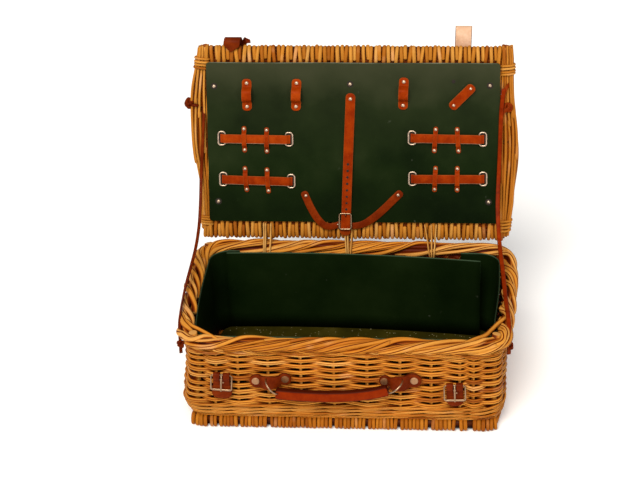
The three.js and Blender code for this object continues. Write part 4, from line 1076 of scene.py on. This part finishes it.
def smooth_profile(prof, n):
    """Side profile rows (s, h) sampled smoothly, denser at the ends."""
    q = spline([(a, h, 0) for a, h in prof], 400)
    L = arc_len(q)
    u = end_dense(n) * L[-1]
    return np.stack([np.interp(u, L, q[:, 0]), np.interp(u, L, q[:, 1])], -1), u, L[-1]


TOP = 3.3  # face of the lid board
leather_b = Builder()  # fittings on the lid board
rivets_b = Builder()


def lid_strap(b, cx, cv, turn, prof, w, t, n=60, r0=None, r1=None, width_fn=None, along_x=False, tint=None, mat=0):
    q, u, L = smooth_profile(prof, n)
    a = math.radians(turn)
    h = q[:, 1] + t / 2
    if along_x:
        dx, dv = np.cos(a) * q[:, 0], np.sin(a) * q[:, 0]
        side = lidd(-math.sin(a), math.cos(a), 0)
    else:
        dx, dv = -np.sin(a) * q[:, 0], np.cos(a) * q[:, 0]
        side = lidd(math.cos(a), math.sin(a), 0)
    ww = round_ends(u, L, w, r0, r1)
    if width_fn is not None:
        ww = np.minimum(ww, width_fn(q[:, 0]))
    b.strap(lidp(cx + dx, cv + dv, h), side, ww, t, tint=tint, mat=mat)


def hump(half, flat, top, h0, h1):
    return [(-half, h0), (-(half + flat) / 2, h0), (-flat, h0 + 0.2), (-(flat + top) / 2, h0 + (h1 - h0) * 0.5), (-top, h0 + (h1 - h0) * 0.88), (0, h1), (top, h0 + (h1 - h0) * 0.88), ((flat + top) / 2, h0 + (h1 - h0) * 0.5), (flat, h0 + 0.2), ((half + flat) / 2, h0), (half, h0)]


def cutlery():
    b, rv = leather_b, rivets_b
    for x, v, turn in ((-183.5, 249.5, 0), (-98.8, 249.8, -2), (83.8, 252.8, -2)):
        lid_strap(b, x, v, turn, hump(27.5, 13.5, 7.0, TOP + 0.1, TOP + 11.6), 16.5, 2.0, n=70, r0=6.5, r1=6.5)
        a = math.radians(turn)
        for s in (-20.2, 20.2):
            rivet(rv, lidp(x - math.sin(a) * s, v + math.cos(a) * s, TOP + 2.1), LID_N, 3.3, 1.8)
    # the fourth loop is loose at one end and has turned aside
    lid_strap(b, 183.2, 247.7, -44, [(-27.5, TOP + 0.1), (-18, TOP + 0.1), (-8, TOP + 0.4), (4, TOP + 1.6), (16, TOP + 3.6), (27.5, TOP + 4.8)], 16.5, 2.0, n=60, r0=7, r1=7)
    a = math.radians(-44)
    rivet(rv, lidp(183.2 - math.sin(a) * -20.5, 247.7 + math.cos(a) * -20.5, TOP + 2.1), LID_N, 2.7, 1.5)
    rivet(rv, lidp(183.2 - math.sin(a) * 20.5, 247.7 + math.cos(a) * 20.5, TOP + 6.0), LID_N, 2.4, 1.0)


cutlery()

CROSS = [(-228.4, -112.3, 173.0, -0.6), (-227.3, -109.6, 100.2, -1.4), (98.4, 218.8, 175.5, -0.8), (99.3, 219.9, 105.2, 0.3)]
KEEPERS = [(-189.4, 172, 1), (-150.7, 170, 0), (-188, 102, 4), (-150.1, 99.8, 3.4), (137.7, 173, -3.6), (176.5, 172.6, 4), (138, 104.8, -2.4), (175.9, 104.7, 0)]
eyes_b = Builder()
pale_b = Builder()  # cut edges of the hide where they catch the light


def rr_path(hw, hh, r, n=7):
    out = []
    for cx, cy, a0 in ((hw - r, -hh + r, -90), (hw - r, hh - r, 0), (-hw + r, hh - r, 90), (-hw + r, -hh + r, 180)):
        for i in range(n):
            a = math.radians(a0 + 90 * i / (n - 1))
            out.append((cx + r * math.cos(a), cy + r * math.sin(a)))
    return np.array(out)


def cross_straps():
    b = leather_b
    for xa, xb, v, turn in CROSS:
        half = (xb - xa) / 2
        cx = (xa + xb) / 2
        over = TOP + 2.9
        prof = [(-half - 2.2, TOP + 0.2), (-half + 0.6, TOP + 0.7), (-half + 3.4, over + 0.6), (-half + 7, over + 1.2), (-half + 13, over + 0.2), (-half * 0.4, over + 0.5), (half * 0.4, over + 0.3), (half - 13, over + 0.2), (half - 7, over + 1.2), (half - 3.4, over + 0.6), (half - 0.6, TOP + 0.7), (half + 2.2, TOP + 0.2)]
        lid_strap(b, cx, v, turn, prof, 15, 1.7, n=70, along_x=True)
        q, _, _ = smooth_profile(prof, 70)
        q = q[9:-9]
        ta = math.radians(turn)
        pale_b.tube(lidp(cx + math.cos(ta) * q[:, 0] + math.sin(ta) * 7.5, v + math.sin(ta) * q[:, 0] - math.cos(ta) * 7.5, q[:, 1] + 0.75), 0.7, LID_N, sides=6, cap="round")
        a = math.radians(turn)
        for s in (-1, 1):
            o = rr_path(6.0, 11.6, 4.6)
            px = cx + s * half * math.cos(a) + o[:, 0]
            pv = v + s * half * math.sin(a) + o[:, 1]
            eyes_b.tube(lidp(px, pv, TOP + 1.35), 1.15, LID_N, rb=1.55, sides=10, closed=True)
    for x, v, turn in KEEPERS:
        lid_strap(b, x, v, turn, hump(23, 13.6, 10, TOP + 0.1, TOP + 5.6), 7.9, 1.6, n=50, r0=3.7, r1=3.7)
        a = math.radians(turn)
        for s in (-18.2, 18.2):
            rivet(rivets_b, lidp(x - math.sin(a) * s, v + math.cos(a) * s, TOP + 1.6), LID_N, 3.0, 1.8)


cross_straps()


def plate_fittings():
    b = leather_b
    x1, v1, x0, v0 = -6.0, 253.0, -16.0, 12.0
    L = math.hypot(x1 - x0, v1 - v0)
    turn = -math.degrees(math.atan2(x1 - x0, v1 - v0))
    prof = [(0, 5.75), (16, 5.75), (32, 5.75), (44, 5.9), (70, 7.2), (120, 7.9), (170, 6.3), (205, TOP + 0.7), (L - 22, TOP + 0.15), (L, TOP + 0.1)]
    lid_strap(b, x0, v0, turn, prof, 16.5, 1.5, n=120, r0=2.0, r1=7.5)
    a = math.radians(turn)

    def at(s, h):
        return lidp(x0 - math.sin(a) * s, v0 + math.cos(a) * s, h)

    rivet(rivets_b, at(L - 10, TOP + 1.6), LID_N, 3.2, 1.6)
    # punched holes, filled with near-black discs: painted shade
    holes = Builder()
    hp, _, _ = smooth_profile(prof, 160)
    for s in np.linspace(38.5, 118.5, 8):
        h = np.interp(s, hp[:, 0], hp[:, 1])
        c = at(s, h + 1.46)
        holes.lathe(c, LID_N, [(2.2, -0.2), (2.2, 0.08), (1.6, 0.12), (0.0, 0.12)], sides=14)
    holes.obj("plate_strap_holes", [M_HOLE_SHADE], "lid", "tan")
    # buckle
    m = Builder()
    o = rr_path(10.2, 14.0, 3.6)
    rb = np.where(o[:, 1] < -9, 1.75, 1.2)
    m.tube(lidp(-16.4 + o[:, 0], 29.2 + o[:, 1], 8.7), 1.0, LID_N, rb=rb, sides=10, closed=True)
    m.tube(lidp(np.full(6, -15.4), np.linspace(37.5, 44.2, 6), np.array([8.1, 8.7, 9.3, 9.7, 9.8, 9.6])), 0.9, LID_N, sides=8, cap="round")
    m.obj("plate_strap_buckle", [M_NICKEL], "lid", "metal", ["plate_buckle"])
    # dark folded leather that carries the buckle
    d = Builder()
    s = end_dense(30)
    v = 29.5 - 26.5 * s
    d.strap(lidp(-16.6, v, TOP + 1.2), lidd(1, 0, 0), round_ends(s * 26.5, 26.5, 19.0, None, 8.5), 1.8)
    # ties
    for rows, w in (
        ([(-88.5, 81), (-83, 68), (-74.5, 49.5), (-63.5, 31.5), (-51.5, 20.5), (-39.5, 19.2), (-26.5, 23.5)], 13.0),
        ([(81, 82), (66, 67), (48, 49), (30, 33.5), (13, 23.5), (-5.5, 20)], 13.5),
    ):
        p = spline([(x, v, 0) for x, v in rows], 60)
        L2 = arc_len(p)
        u = end_dense(60) * L2[-1]
        p = np.stack([np.interp(u, L2, p[:, i]) for i in range(2)], -1)
        tan = unit(np.gradient(p, axis=0))
        side = np.array([lidd(-t[1], t[0], 0) for t in tan])
        w_arr = round_ends(u, L2[-1], w, 5.5, None)
        w_arr = w_arr * np.interp(u / L2[-1], [0, 0.6, 1.0], [1, 1, 0.8])
        lift = np.interp(u / L2[-1], [0, 0.25, 0.7, 1], [0.2, 0.9, 0.7, 0.3])
        d.strap(lidp(p[:, 0], p[:, 1], TOP + 0.95 + lift), side, w_arr, 1.9)
    rivet(rivets_b, lidp(-84.2, 73.5, TOP + 2.2), LID_N, 2.8, 1.5)
    rivet(rivets_b, lidp(74.8, 76.0, TOP + 2.2), LID_N, 2.8, 1.5)
    rivet(rivets_b, lidp(-29.5, 23.0, TOP + 2.2), LID_N, 1.6, 1.0)
    d.obj("plate_ties_and_chape", [M_TAN_DARK], "lid", "brown", ["plate_chape", "plate_tie_left", "plate_tie_right"])
    for x, v in ((-239.8, 263.9), (-6.9, 268.4), (229.9, 266.9), (-236.7, 62.0), (229.7, 64.7)):
        rivet(rivets_b, lidp(x, v, TOP), LID_N, 3.1, 1.8)
    # a pale line along the board's top edge: painted highlight
    eb = Builder()
    q = np.linspace(-247.5, 241.5, 40)
    eb.tube(lidp(q, 304.5 - 0.3 * np.sin(q * 0.03), TOP - 0.25), 0.75, LID_N, sides=6, cap="round")
    eb.obj("board_upper_edge", [M_EDGE_HIGHLIGHT], "lid", "green")
    # painted shade: dark rings round the board rivets, dark slots inside the strap eyes and one dark disc on the board
    hb = Builder()
    for x, v in ((-239.8, 263.9), (-6.9, 268.4), (229.9, 266.9), (-236.7, 62.0), (229.7, 64.7)):
        hb.lathe(lidp(x, v, TOP), LID_N, [(5.6, -0.2), (5.6, 0.03), (5.0, 0.1), (0, 0.1)], sides=18)
    for xa, xb, v, turn in CROSS:
        for sx in (-1, 1):
            cx = (xa + xb) / 2 + sx * (xb - xa) / 2
            cv = v + sx * (xb - xa) / 2 * math.sin(math.radians(turn))
            q = np.linspace(-9.6, 9.6, 7)
            hb.strap(lidp(cx, cv + q, TOP + 0.05), lidd(1, 0, 0), 9.0 * np.array([0.5, 0.9, 1, 1, 1, 0.9, 0.5]), 0.2)
    hb.lathe(lidp(168.5, 273.6, TOP), LID_N, [(3.3, -0.2), (3.3, 0.06), (2.6, 0.08), (0, 0.08)], sides=14)
    hb.obj("board_shade_marks", [M_HOLE_SHADE], "lid", "green")
    pale_b.obj("cross_strap_edges", [M_FLESH_EDGE], "lid", "tan")


plate_fittings()
leather_b.obj("lid_straps", [M_TAN], "lid", "tan", ["cutlery_loop_1", "cutlery_loop_2", "cutlery_loop_3", "cutlery_loop_4", "cross_strap_ul", "cross_strap_ll", "cross_strap_ur", "cross_strap_lr", "plate_strap"] + [f"keeper_{i}" for i in range(1, 9)])
eyes_b.obj("lid_strap_eyes", [M_EYE], "lid", "metal", [f"strap_eye_{i}" for i in range(1, 9)])
rivets_b.obj("lid_rivets", [M_RIVET], "lid", "metal")


# ------------------------------------------------------------------ closing straps on the lid
def closing():
    back = -21.0 - 0.5 - 1.2
    b = Builder()
    left = [(262, back), (300, back), (330, back), (339.6, back + 2.0), (344.4, back + 8.5), (345.6, back + 15.5), (344.2, back + 21.0), (340.2, 1.2), (335, 1.95), (322.5, 1.95)]
    q = spline([(v, h, 0) for v, h in left], 90)
    L = arc_len(q)
    u = np.linspace(0, 1, 90) ** 0.9 * L[-1]
    v, h = np.interp(u, L, q[:, 0]), np.interp(u, L, q[:, 1])
    # square root end outside, arrow-shaped tip inside
    tip = np.clip((L[-1] - u) / 11.0, 0, 1)
    x = -206.4 - 5.0 * np.clip((u - 92) / 40, 0, 1)
    b.strap(lidp(x, v, h), lidd(1, 0, 0), np.maximum(28 * tip**0.9, 0.3), 2.3)
    right = [(262, back), (300, back), (334, back), (350, back + 0.6), (358.5, back - 0.4), (362.4, back - 3.4), (362.2, back - 7.2), (357, back - 10.6), (344, back - 13.8), (322, back - 16)]
    q = spline([(vv, hh, 0) for vv, hh in right], 90)
    L = arc_len(q)
    u = np.linspace(0, 1, 90) * L[-1]
    v, h = np.interp(u, L, q[:, 0]), np.interp(u, L, q[:, 1])
    b2 = Builder()
    tip = np.clip((L[-1] - u) / 11.0, 0, 1)
    P = lidp(183 + 0.03 * (v - 300), v, h)
    b2.strap(P, lidd(1, 0, 0), np.maximum(28 * tip**0.9, 0.3), 2.1, mat=0)
    kp = spline([(-198, 322, -24.4), (-192, 331, -24.6), (-187.5, 338.5, -22.5), (-184.5, 342.5, -17.5), (-182.2, 340, -13.5), (-181.6, 335.5, -12.5)], 26)
    b.strap(lidp(kp[:, 0], kp[:, 1], kp[:, 2]), lidd(1, -0.5, 0), np.linspace(11, 8.5, 26), 2.2)
    b.obj("closing_strap_left_leather", [M_BROWN], "lid", "brown", ["closing_strap_left"])
    o = b2.obj("closing_strap_right_leather", [M_BROWN, M_FLESH], "lid", "brown", ["closing_strap_right"])
    # the flesh side faces the viewer where the strap stands up
    me = o.data
    arc_i = np.arange(len(me.polygons))
    mi = np.zeros(len(me.polygons), int)
    me.polygons.foreach_get("material_index", mi)
    k = 12
    # the strap's own inner face: section columns on its upper side
    col = arc_i % k
    flesh = np.isin(col, FLESH_COLS) & (arc_i < k * (len(P) - 1))
    mi[flesh] = 1
    me.polygons.foreach_set("material_index", mi)
    rv = Builder()
    for x in (-206.4, 183.0):
        for vv in (270.0,):
            rivet(rv, lidp(x - 6, vv, back - 1.1), -LID_N, 2.8, 1.5)
            rivet(rv, lidp(x + 6, vv, back - 1.1), -LID_N, 2.8, 1.5)
    rv.obj("closing_strap_rivets", [M_RIVET], "lid", "metal")


FLESH_COLS = (11,)
closing()


# ------------------------------------------------------------------ hinge lashings
def lashings():
    e = lambda deg, o: (165.5 + (14.6 + o) * math.cos(math.radians(deg)), 159.5 + (13.0 + o) * math.sin(math.radians(deg)))

    def lv(v, h):
        q = lidp(0, v, h)
        return (q[1], q[2])

    loop = [e(180, 1.6), e(215, 1.6), e(245, 1.6), e(270, 1.6), e(295, 1.6), e(325, 1.6), e(352, 1.8), lv(-1.5, -20.5), lv(4, -22.8), lv(16, -22.6), lv(23, -14.0), lv(23.5, -4.0), lv(20.0, 1.5), lv(8, 1.6), lv(0, 3.2), e(112, 5.2), e(140, 2.0)]
    sets = [
        (-152.5, [(-6.5, 0.5, -5.8), (-3.2, 0.3, -3.4), (6.4, 0.2, 4.6)]),
        (-12.0, [(-6.6, 0.0, -1.5), (-1.6, 0.0, 1.6), (7.4, 1.8, 4.4)]),
        (133.0, [(-11.8, -1.0, -2.2), (-1.0, 0.0, 0.4), (7.6, 0.4, 3.6)]),
    ]
    for k, (cx, strands) in enumerate(sets, 1):
        b = Builder()
        for top, midx, low in strands:
            q = spline([(0, y, z) for y, z in loop + loop[:1]], 74)[:-1]
            # the strand leans: its place across the band changes with height
            f = np.clip((q[:, 2] - 150) / 55.0, 0, 1)
            x = cx + low * (1 - f) + top * f
            p = np.c_[x, q[:, 1], q[:, 2]]
            ctr = p.mean(0)
            ref = p - ctr
            ref[:, 0] = 0
            b.tube(p, 0.75, ref, rb=1.55, sides=8, closed=True, tint=rng.uniform(0.4, 0.95))
        o = b.obj(f"hinge_lashing_{k}", [M_CANE], None, "cane", [f"hinge_loop_{k}"])
        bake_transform(o)


lashings()


# ------------------------------------------------------------------ stays
def stays():
    on = lambda x, v, h: tuple(lidp(x, v, h))
    left = [on(-258.6, 246, -11.0), on(-259.2, 232, -8.5), on(-259.6, 216, -3.0), on(-260.4, 192, 1.6), on(-263, 150, 2.6), on(-265.6, 110, 5), (-265.4, 158, 252), (-266.2, 132, 221), (-268.2, 96, 199), (-271.0, 52, 187), (-272.6, 4, 181.5), (-272.6, -44, 177), (-271.8, -82, 172), (-270.0, -106, 166.5), (-268.4, -119, 158), (-267.6, -124.5, 149), (-267.4, -126, 141), (-267.6, -125, 132), (-267.8, -124, 122)]
    lside = [X] * 10 + [np.array([0.9, 0, 0.4]), np.array([0.7, 0, 0.7]), np.array([0.6, 0, 0.7]), np.array([0.7, 0.5, 0.4]), np.array([0.8, 0.6, 0.0]), np.array([0.9, 0.4, 0]), np.array([0.9, 0.4, 0]), np.array([0.9, 0.4, 0]), np.array([0.9, 0.4, 0])]
    right = [on(253.4, 262, 4.9), on(249.6, 225, 4.9), on(248.7, 190, 4.9), on(247.8, 150, 5), on(246.6, 110, 6.5), (245.3, 158, 252), (247, 132, 221), (250, 96, 199), (254.1, 52, 187), (256.8, 4, 181), (259.6, -44, 177.4), (262.2, -80, 176.0), (263.2, -97, 174.6), (263.4, -109, 170.8), (263.2, -116, 163.5), (263.4, -118.5, 156)]
    rside = [X] * 13 + [np.array([0.95, 0.3, 0])] * 3
    for name, pts, sd, mat, w in (("left", left, lside, M_BROWN, 5.6), ("right", right, rside, M_STAY, 7.2)):
        n = 110
        p = spline(pts, n)
        pp = np.asarray(pts, float)
        d = arc_len(pp)
        u = np.linspace(0, d[-1], n)
        side = np.stack([np.interp(u, d, np.asarray(sd)[:, i]) for i in range(3)], -1)
        b = Builder()
        b.strap(p, side, w, 2.0)
        o = b.obj(f"stay_{name}_strap", [mat], None, "brown" if name == "left" else "tan", [f"stay_{name}"])
        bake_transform(o)


stays()


def knots():
    """Where the stays are tied: a loose knot on the lid's left edge, turns round the right bundle."""
    b = Builder()
    c = np.array([-284.5, 232.0, -6.0])
    th = np.linspace(0, 2 * np.pi, 26, endpoint=False)
    for ax, ay, ah, tilt, o in ((6.0, 6.2, 3.0, 0.5, (0, 0.8, 0)), (4.2, 4.0, 4.0, -0.7, (1.0, -2.4, 1.4)), (3.4, 5.4, 3.6, 1.5, (-1.4, 2.4, -1.0)), (2.6, 2.4, 2.2, 0.2, (0.6, 1.0, 0.6))):
        x = c[0] + o[0] + ax * np.cos(th)
        v = c[1] + o[1] + ay * np.sin(th)
        h = c[2] + o[2] + ah * np.sin(th * 2 + tilt)
        b.tube(lidp(x, v, h), 1.7, LID_N, rb=2.6, sides=8, closed=True)
    tail = spline([(-268, 229, 0.8), (-273, 230.5, 1.6), (-278, 230, -1.0), (-283, 229, -4.0)], 18)
    b.strap(lidp(tail[:, 0], tail[:, 1], tail[:, 2]), lidd(0, 1, 0.3), np.linspace(6.0, 4.6, 18), 2.0)
    b.obj("stay_left_knot", [M_BROWN], "lid", "brown")
    # the lower ends are knotted below the border, outside the wall
    for name, c, mat, slot in (("left", (-267.4, -127.0, 140.5), M_BROWN, "brown"), ("right", (264.6, -121.0, 143.0), M_BROWN, "brown")):
        b = Builder()
        for ax, az, ay, tilt, o in ((4.4, 4.6, 2.6, 0.4, (0, 0, 0.8)), (3.6, 3.4, 3.0, -0.8, (0.8, -0.6, -1.6)), (3.2, 4.2, 2.8, 1.6, (-0.9, 0.4, 1.4))):
            P = np.c_[c[0] + o[0] + ax * np.cos(th), c[1] + o[1] + ay * np.sin(2 * th + tilt), c[2] + o[2] + az * np.sin(th)]
            b.tube(P, 1.3, Y, rb=2.1, sides=8, closed=True)
        if name == "right":
            q = spline([(263.5, -118.8, 157), (263.8, -119.6, 149), (264.0, -119.4, 141), (264.2, -118.8, 133), (264.0, -118.3, 125.5)], 24)
            b.strap(q, np.array([0.95, 0.3, 0]), np.linspace(7.2, 6.4, 24), 2.0)
        b.obj(f"stay_{name}_end_knot", [mat], "base", slot)
    b = Builder()
    kc = np.array([261.0, 229.0, -0.6])
    for ax, ay, ah, tilt, o in ((6.4, 6.6, 1.4, 0.4, (0, 0, 0)), (4.2, 4.4, 1.6, -0.8, (1.6, -2.0, 0.2)), (3.4, 5.0, 1.4, 1.5, (-2.0, 1.6, 0))):
        b.tube(lidp(kc[0] + o[0] + ax * np.cos(th), kc[1] + o[1] + ay * np.sin(th), kc[2] + o[2] + ah * np.sin(th * 2 + tilt)), 1.5, LID_N, rb=2.2, sides=8, closed=True)
    turns = [[(251.0, 216, 2.6), (254, 222, 3.0), (259, 226, 2.6), (265, 229, 0.2), (270.0, 229, -8), (266, 228, -19), (258, 226, -19.5)],
             [(250.2, 246, 3.0), (252.0, 251, 3.2), (254.6, 257.5, 3.2), (257.6, 263, 2.4), (260.6, 266.5, -1.5), (262, 268, -9), (259, 268, -18)]]
    for k, pts in enumerate(turns):
        q = spline(pts, 34)
        tan = unit(np.gradient(lidp(q[:, 0], q[:, 1], q[:, 2]), axis=0))
        out = lidp(q[:, 0], q[:, 1], q[:, 2]) - lidp(254.0, q[:, 1], -9.0)
        b.strap(lidp(q[:, 0], q[:, 1], q[:, 2]), np.cross(out, tan), 5.6 if k < 1 else 7.0, 2.0)
    b.obj("stay_right_knot", [M_TAN_DARK], "lid", "tan")


knots()


# ------------------------------------------------------------------ handle
def fp(x, z, out):
    """Point on the front fittings' plane: out is the distance from it towards the viewer."""
    x, z, out = np.broadcast_arrays(np.asarray(x, float), np.asarray(z, float), np.asarray(out, float))
    return np.stack([x, FRONT_Y - out, z], -1)


def handle():
    t = Builder()
    rv = Builder()
    for cx, cz, turn, shift in ((-118.4, 98.7, 5.0, 0.0), (91.0, 101.1, 1.8, -6.0)):
        prof = hump(34, 18, 9.5, 0.5, 10.0)
        slide = lambda s: s + shift * (1 - np.abs(s) / 34.0)
        q, u, L = smooth_profile([(float(slide(np.array(a))), h) for a, h in prof], 84)
        a = math.radians(turn)
        px, pz = cx + math.cos(a) * q[:, 0], cz + math.sin(a) * q[:, 0]
        side = np.array([-math.sin(a), 0, math.cos(a)])
        c = q[:, 0] - shift * (1 - np.abs(q[:, 0]) / 34.0)
        # wide to the crest on the outer side, a little narrower where it dips to the inner rivet
        o = c if cx < 0 else -c
        full = np.interp(o, [-34, -18, -8, 2, 9, 15, 22, 34], [24.4, 24.4, 24.8, 24.8, 20.5, 18.4, 22.4, 22.4] if cx < 0 else [25.6, 25.6, 27.5, 28.0, 22.0, 18.0, 22.0, 22.0])
        w = np.minimum(round_ends(u, L, full, 11.4, 10.6) if cx < 0 else round_ends(u, L, full, 10.6, 11.8), full)
        t.strap(fp(px, pz, q[:, 1] + 1.5), side, w, 3.0, soft=0.36)
        for s in (-24.0, 24.0):
            ss = s + shift * (1 - abs(s) / 34.0)
            c0 = fp(cx + math.cos(a) * ss, cz + math.sin(a) * ss, 3.4)
            # wide washer and domed rivet; the inner ones, beside the rings, get a darker metal: painted shade
            rv.lathe(c0, -Y, [(6.5, -0.5), (6.5, 0.3), (6.1, 0.9), (4.8, 1.4), (3.0, 1.65), (1.4, 1.75), (0, 1.8)], sides=26, mat=1 if s * cx < 0 else 0)
    t.obj("handle_tabs_leather", [M_BROWN], "base", "brown", ["handle_tab_left", "handle_tab_right"])
    rv.obj("handle_tab_rivets", [M_COPPER, M_RIVET_SHADE_TARNISH], "base", "metal")
    r = Builder()
    th = np.linspace(0, 2 * np.pi, 44, endpoint=False)
    for cx, cz, dx, dz in ((-114.4, 96.4, 0.66, -0.7513), (83.4, 100.7, -0.78, -0.6258)):
        p = np.c_[cx + 15 * np.cos(th) * dx, -179.3 + 15 * np.sin(th), cz + 15 * np.cos(th) * dz]
        r.tube(p, 1.45, np.array([-dz, 0, dx]), sides=10, closed=True)
    r.obj("handle_rings_metal", [M_NICKEL], "handle", "metal", ["handle_ring_left", "handle_ring_right"])
    g = Builder()
    ctr = spline([(-109, -179.3, 82.5), (-85, -179.3, 80.4), (-55, -179.3, 78.8), (-22, -179.3, 78.4), (12, -179.3, 80.4), (45, -179.3, 85.4), (71.4, -179.3, 92.1)], 90)
    L = arc_len(ctr)
    u = end_dense(90) * L[-1]
    ctr = np.stack([np.interp(u, L, ctr[:, i]) for i in range(3)], -1)
    tan = unit(np.gradient(ctr, axis=0))
    up = np.stack([-tan[:, 2], np.zeros(90), tan[:, 0]], -1)
    w = round_ends(u, L[-1], 18.2, 3.2, 3.2)
    g.strap(ctr, up, w, 11.6, soft=0.26)
    g.obj("handle_grip_leather", [M_GRIP], "handle", "brown", ["handle_grip"])


handle()


# ------------------------------------------------------------------ front buckles
def buckles():
    lea, rv = Builder(), Builder()
    for name, bx, bz, turn in (("left", -197.0, 108.0, -4.0), ("right", 177.8, 95.5, 1.5)):
        a = math.radians(turn)
        c = 5.4

        def at(x, s, h):
            x, s = np.asarray(x, float), np.asarray(s, float)
            return fp(bx + math.cos(a) * x - math.sin(a) * s, bz + math.sin(a) * x + math.cos(a) * s, h)

        side = np.array([math.cos(a), 0, math.sin(a)])
        # back layer with its round tail, then the fold and front layer in two halves beside the tongue
        tail, wide = (-46.0, 33.0) if name == "left" else (-41.0, 28.0)
        prof = [(tail, 1.7), (-30, 1.7), (-8, 1.7), (-2, 1.7)]
        q, u, L = smooth_profile(prof, 46)
        ww = np.interp(q[:, 0], [tail, -26, -18, 0], [wide, wide, 27.0, 27.0])
        lea.strap(at((wide - 27) * 0.18 * np.clip(-q[:, 0] / 30, 0, 1), q[:, 0], q[:, 1]), side, round_ends(u, L, ww, 11.5, None), 1.8)
        fold = [(-3, 1.7)] + [(3.7 * math.cos(math.radians(d)), c + 3.7 * math.sin(math.radians(d))) for d in range(-80, 91, 17)] + [(-3.5, c + 3.55), (-7.5, c + 2.1), (-11.5, 3.9), (-15, 3.6), (-18.5, 3.6)]
        q, u, L = smooth_profile(fold, 50)
        for sx in (-1, 1):
            lea.strap(at(sx * 7.9, q[:, 0], q[:, 1]), side, np.full(50, 11.2), 1.8)
        q2, u2, L2 = smooth_profile([(-7.0, c + 2.3), (-11.5, 3.9), (-15, 3.6), (-18.5, 3.6)], 20)
        lea.strap(at(0, q2[:, 0], q2[:, 1]), side, np.full(20, 6.0), 1.78)
        rivet(rv, at(2.6, -14.6, 4.4), -Y, 1.7, 0.9)
        f = Builder()
        o = rr_path(16.8, 14.0, 3.6)
        f.tube(at(o[:, 0], o[:, 1] - 14.0, c), 1.15, -Y, rb=np.where(o[:, 1] < -10.5, 1.75, np.where(o[:, 1] > 10.5, 1.1, 1.2)), sides=10, closed=True)
        f.lathe(at(0.0, -5.6, c + 4.4), -Y, [(2.2, -0.5), (2.2, 0.3), (1.8, 0.9), (1.0, 1.25), (0.0, 1.35)], sides=16)
        # tongue: eye round the heel bar and a flattened arm
        th = np.radians(np.linspace(-150, 100, 14))
        eye = np.c_[2.05 * np.cos(th), 2.05 * np.sin(th)]
        arm = np.array([(-2.4, 3.6), (-5.2, 4.6), (-9, 4.5), (-14, 3.5), (-20, 2.7), (-26, 2.3), (-29.6, 2.1)])
        path = spline([(s, h, 0) for s, h in np.concatenate([eye, arm])], 60)
        f.tube(at(0, path[:, 0], c + path[:, 1]), 0.65, -Y, rb=np.interp(np.arange(60), [0, 20, 40, 59], [1.3, 1.4, 1.45, 1.2]), sides=8, cap="round")
        f.obj(f"buckle_{name}_metal", [M_NICKEL], f"buckle_{name}", "metal", [f"buckle_frame_{name}", f"buckle_tongue_{name}"])
    lea.obj("buckle_chapes_leather", [M_BROWN], "base", "brown", ["buckle_chape_left", "buckle_chape_right"])
    rv.obj("buckle_chape_rivets", [M_COPPER], "base", "metal")


buckles()


# ------------------------------------------------------------------ stage, camera, light
def stage():
    me = bpy.data.meshes.new("floor")
    s = 6.0
    me.from_pydata([(-s, -s, 0), (s, -s, 0), (s, s, 0), (-s, s, 0)], [], [(0, 1, 2, 3)])
    o = bpy.data.objects.new("floor", me)
    bpy.context.scene.collection.objects.link(o)
    m, nt, bs = new_mat("floor_pale")
    n = noise(nt, objco(nt), 3.0, 2)
    nt.links.new(ramp(nt, n, [(0.3, (0.93, 0.93, 0.925)), (0.7, (0.95, 0.95, 0.945))]), bs.inputs["Base Color"])
    bs.inputs["Roughness"].default_value = 0.9
    bs.inputs["Emission Color"].default_value = (1, 1, 1, 1)
    bs.inputs["Emission Strength"].default_value = 0.16
    me.materials.append(m)
    w = bpy.data.worlds.new("studio")
    bpy.context.scene.world = w
    w.use_nodes = True
    bg = w.node_tree.nodes["Background"]
    bg.inputs[0].default_value = (1.0, 1.0, 1.0, 1)
    bg.inputs[1].default_value = 0.42

    def area(name, loc, target, size, power, col=(1, 1, 1)):
        l = bpy.data.lights.new(name, "AREA")
        l.shape = "RECTANGLE"
        l.size, l.size_y = size
        l.energy = power
        l.color = col
        ob = bpy.data.objects.new(name, l)
        ob.location = loc
        d = Vector(target) - Vector(loc)
        ob.rotation_euler = d.to_track_quat("-Z", "Y").to_euler()
        bpy.context.scene.collection.objects.link(ob)

    sun = bpy.data.lights.new("key", "SUN")
    sun.energy = 3.1
    sun.angle = math.radians(34)
    sun.color = (1.0, 0.95, 0.87)
    ob = bpy.data.objects.new("key", sun)
    ob.rotation_euler = (Vector((0.1, 0.1, 0.2)) - Vector((-0.45, -2.0, 2.75))).to_track_quat("-Z", "Y").to_euler()
    bpy.context.scene.collection.objects.link(ob)
    area("fill", (1.5, -2.1, 0.9), (0, 0, 0.2), (1.2, 1.0), 11)

    cam = bpy.data.cameras.new("camera")
    cam.sensor_fit = "HORIZONTAL"
    cam.sensor_width = 36.0
    cam.lens = 109.67
    cam.clip_start, cam.clip_end = 0.05, 50
    ob = bpy.data.objects.new("camera", cam)
    R = Vector((0.99663, 0.07667, -0.02919))
    U = Vector((-0.01075, 0.47486, 0.87999))
    F = Vector((-0.08133, 0.87671, -0.47409))
    m4 = Matrix.Identity(4)
    for i in range(3):
        m4[i][0], m4[i][1], m4[i][2] = R[i], U[i], -F[i]
    m4.translation = Vector((0.214357, -2.805482, 1.783782))
    ob.matrix_world = m4
    bpy.context.scene.collection.objects.link(ob)
    bpy.context.scene.camera = ob
    vs = bpy.context.scene.view_settings
    vs.view_transform = "Standard"
    vs.look = "None"


stage()
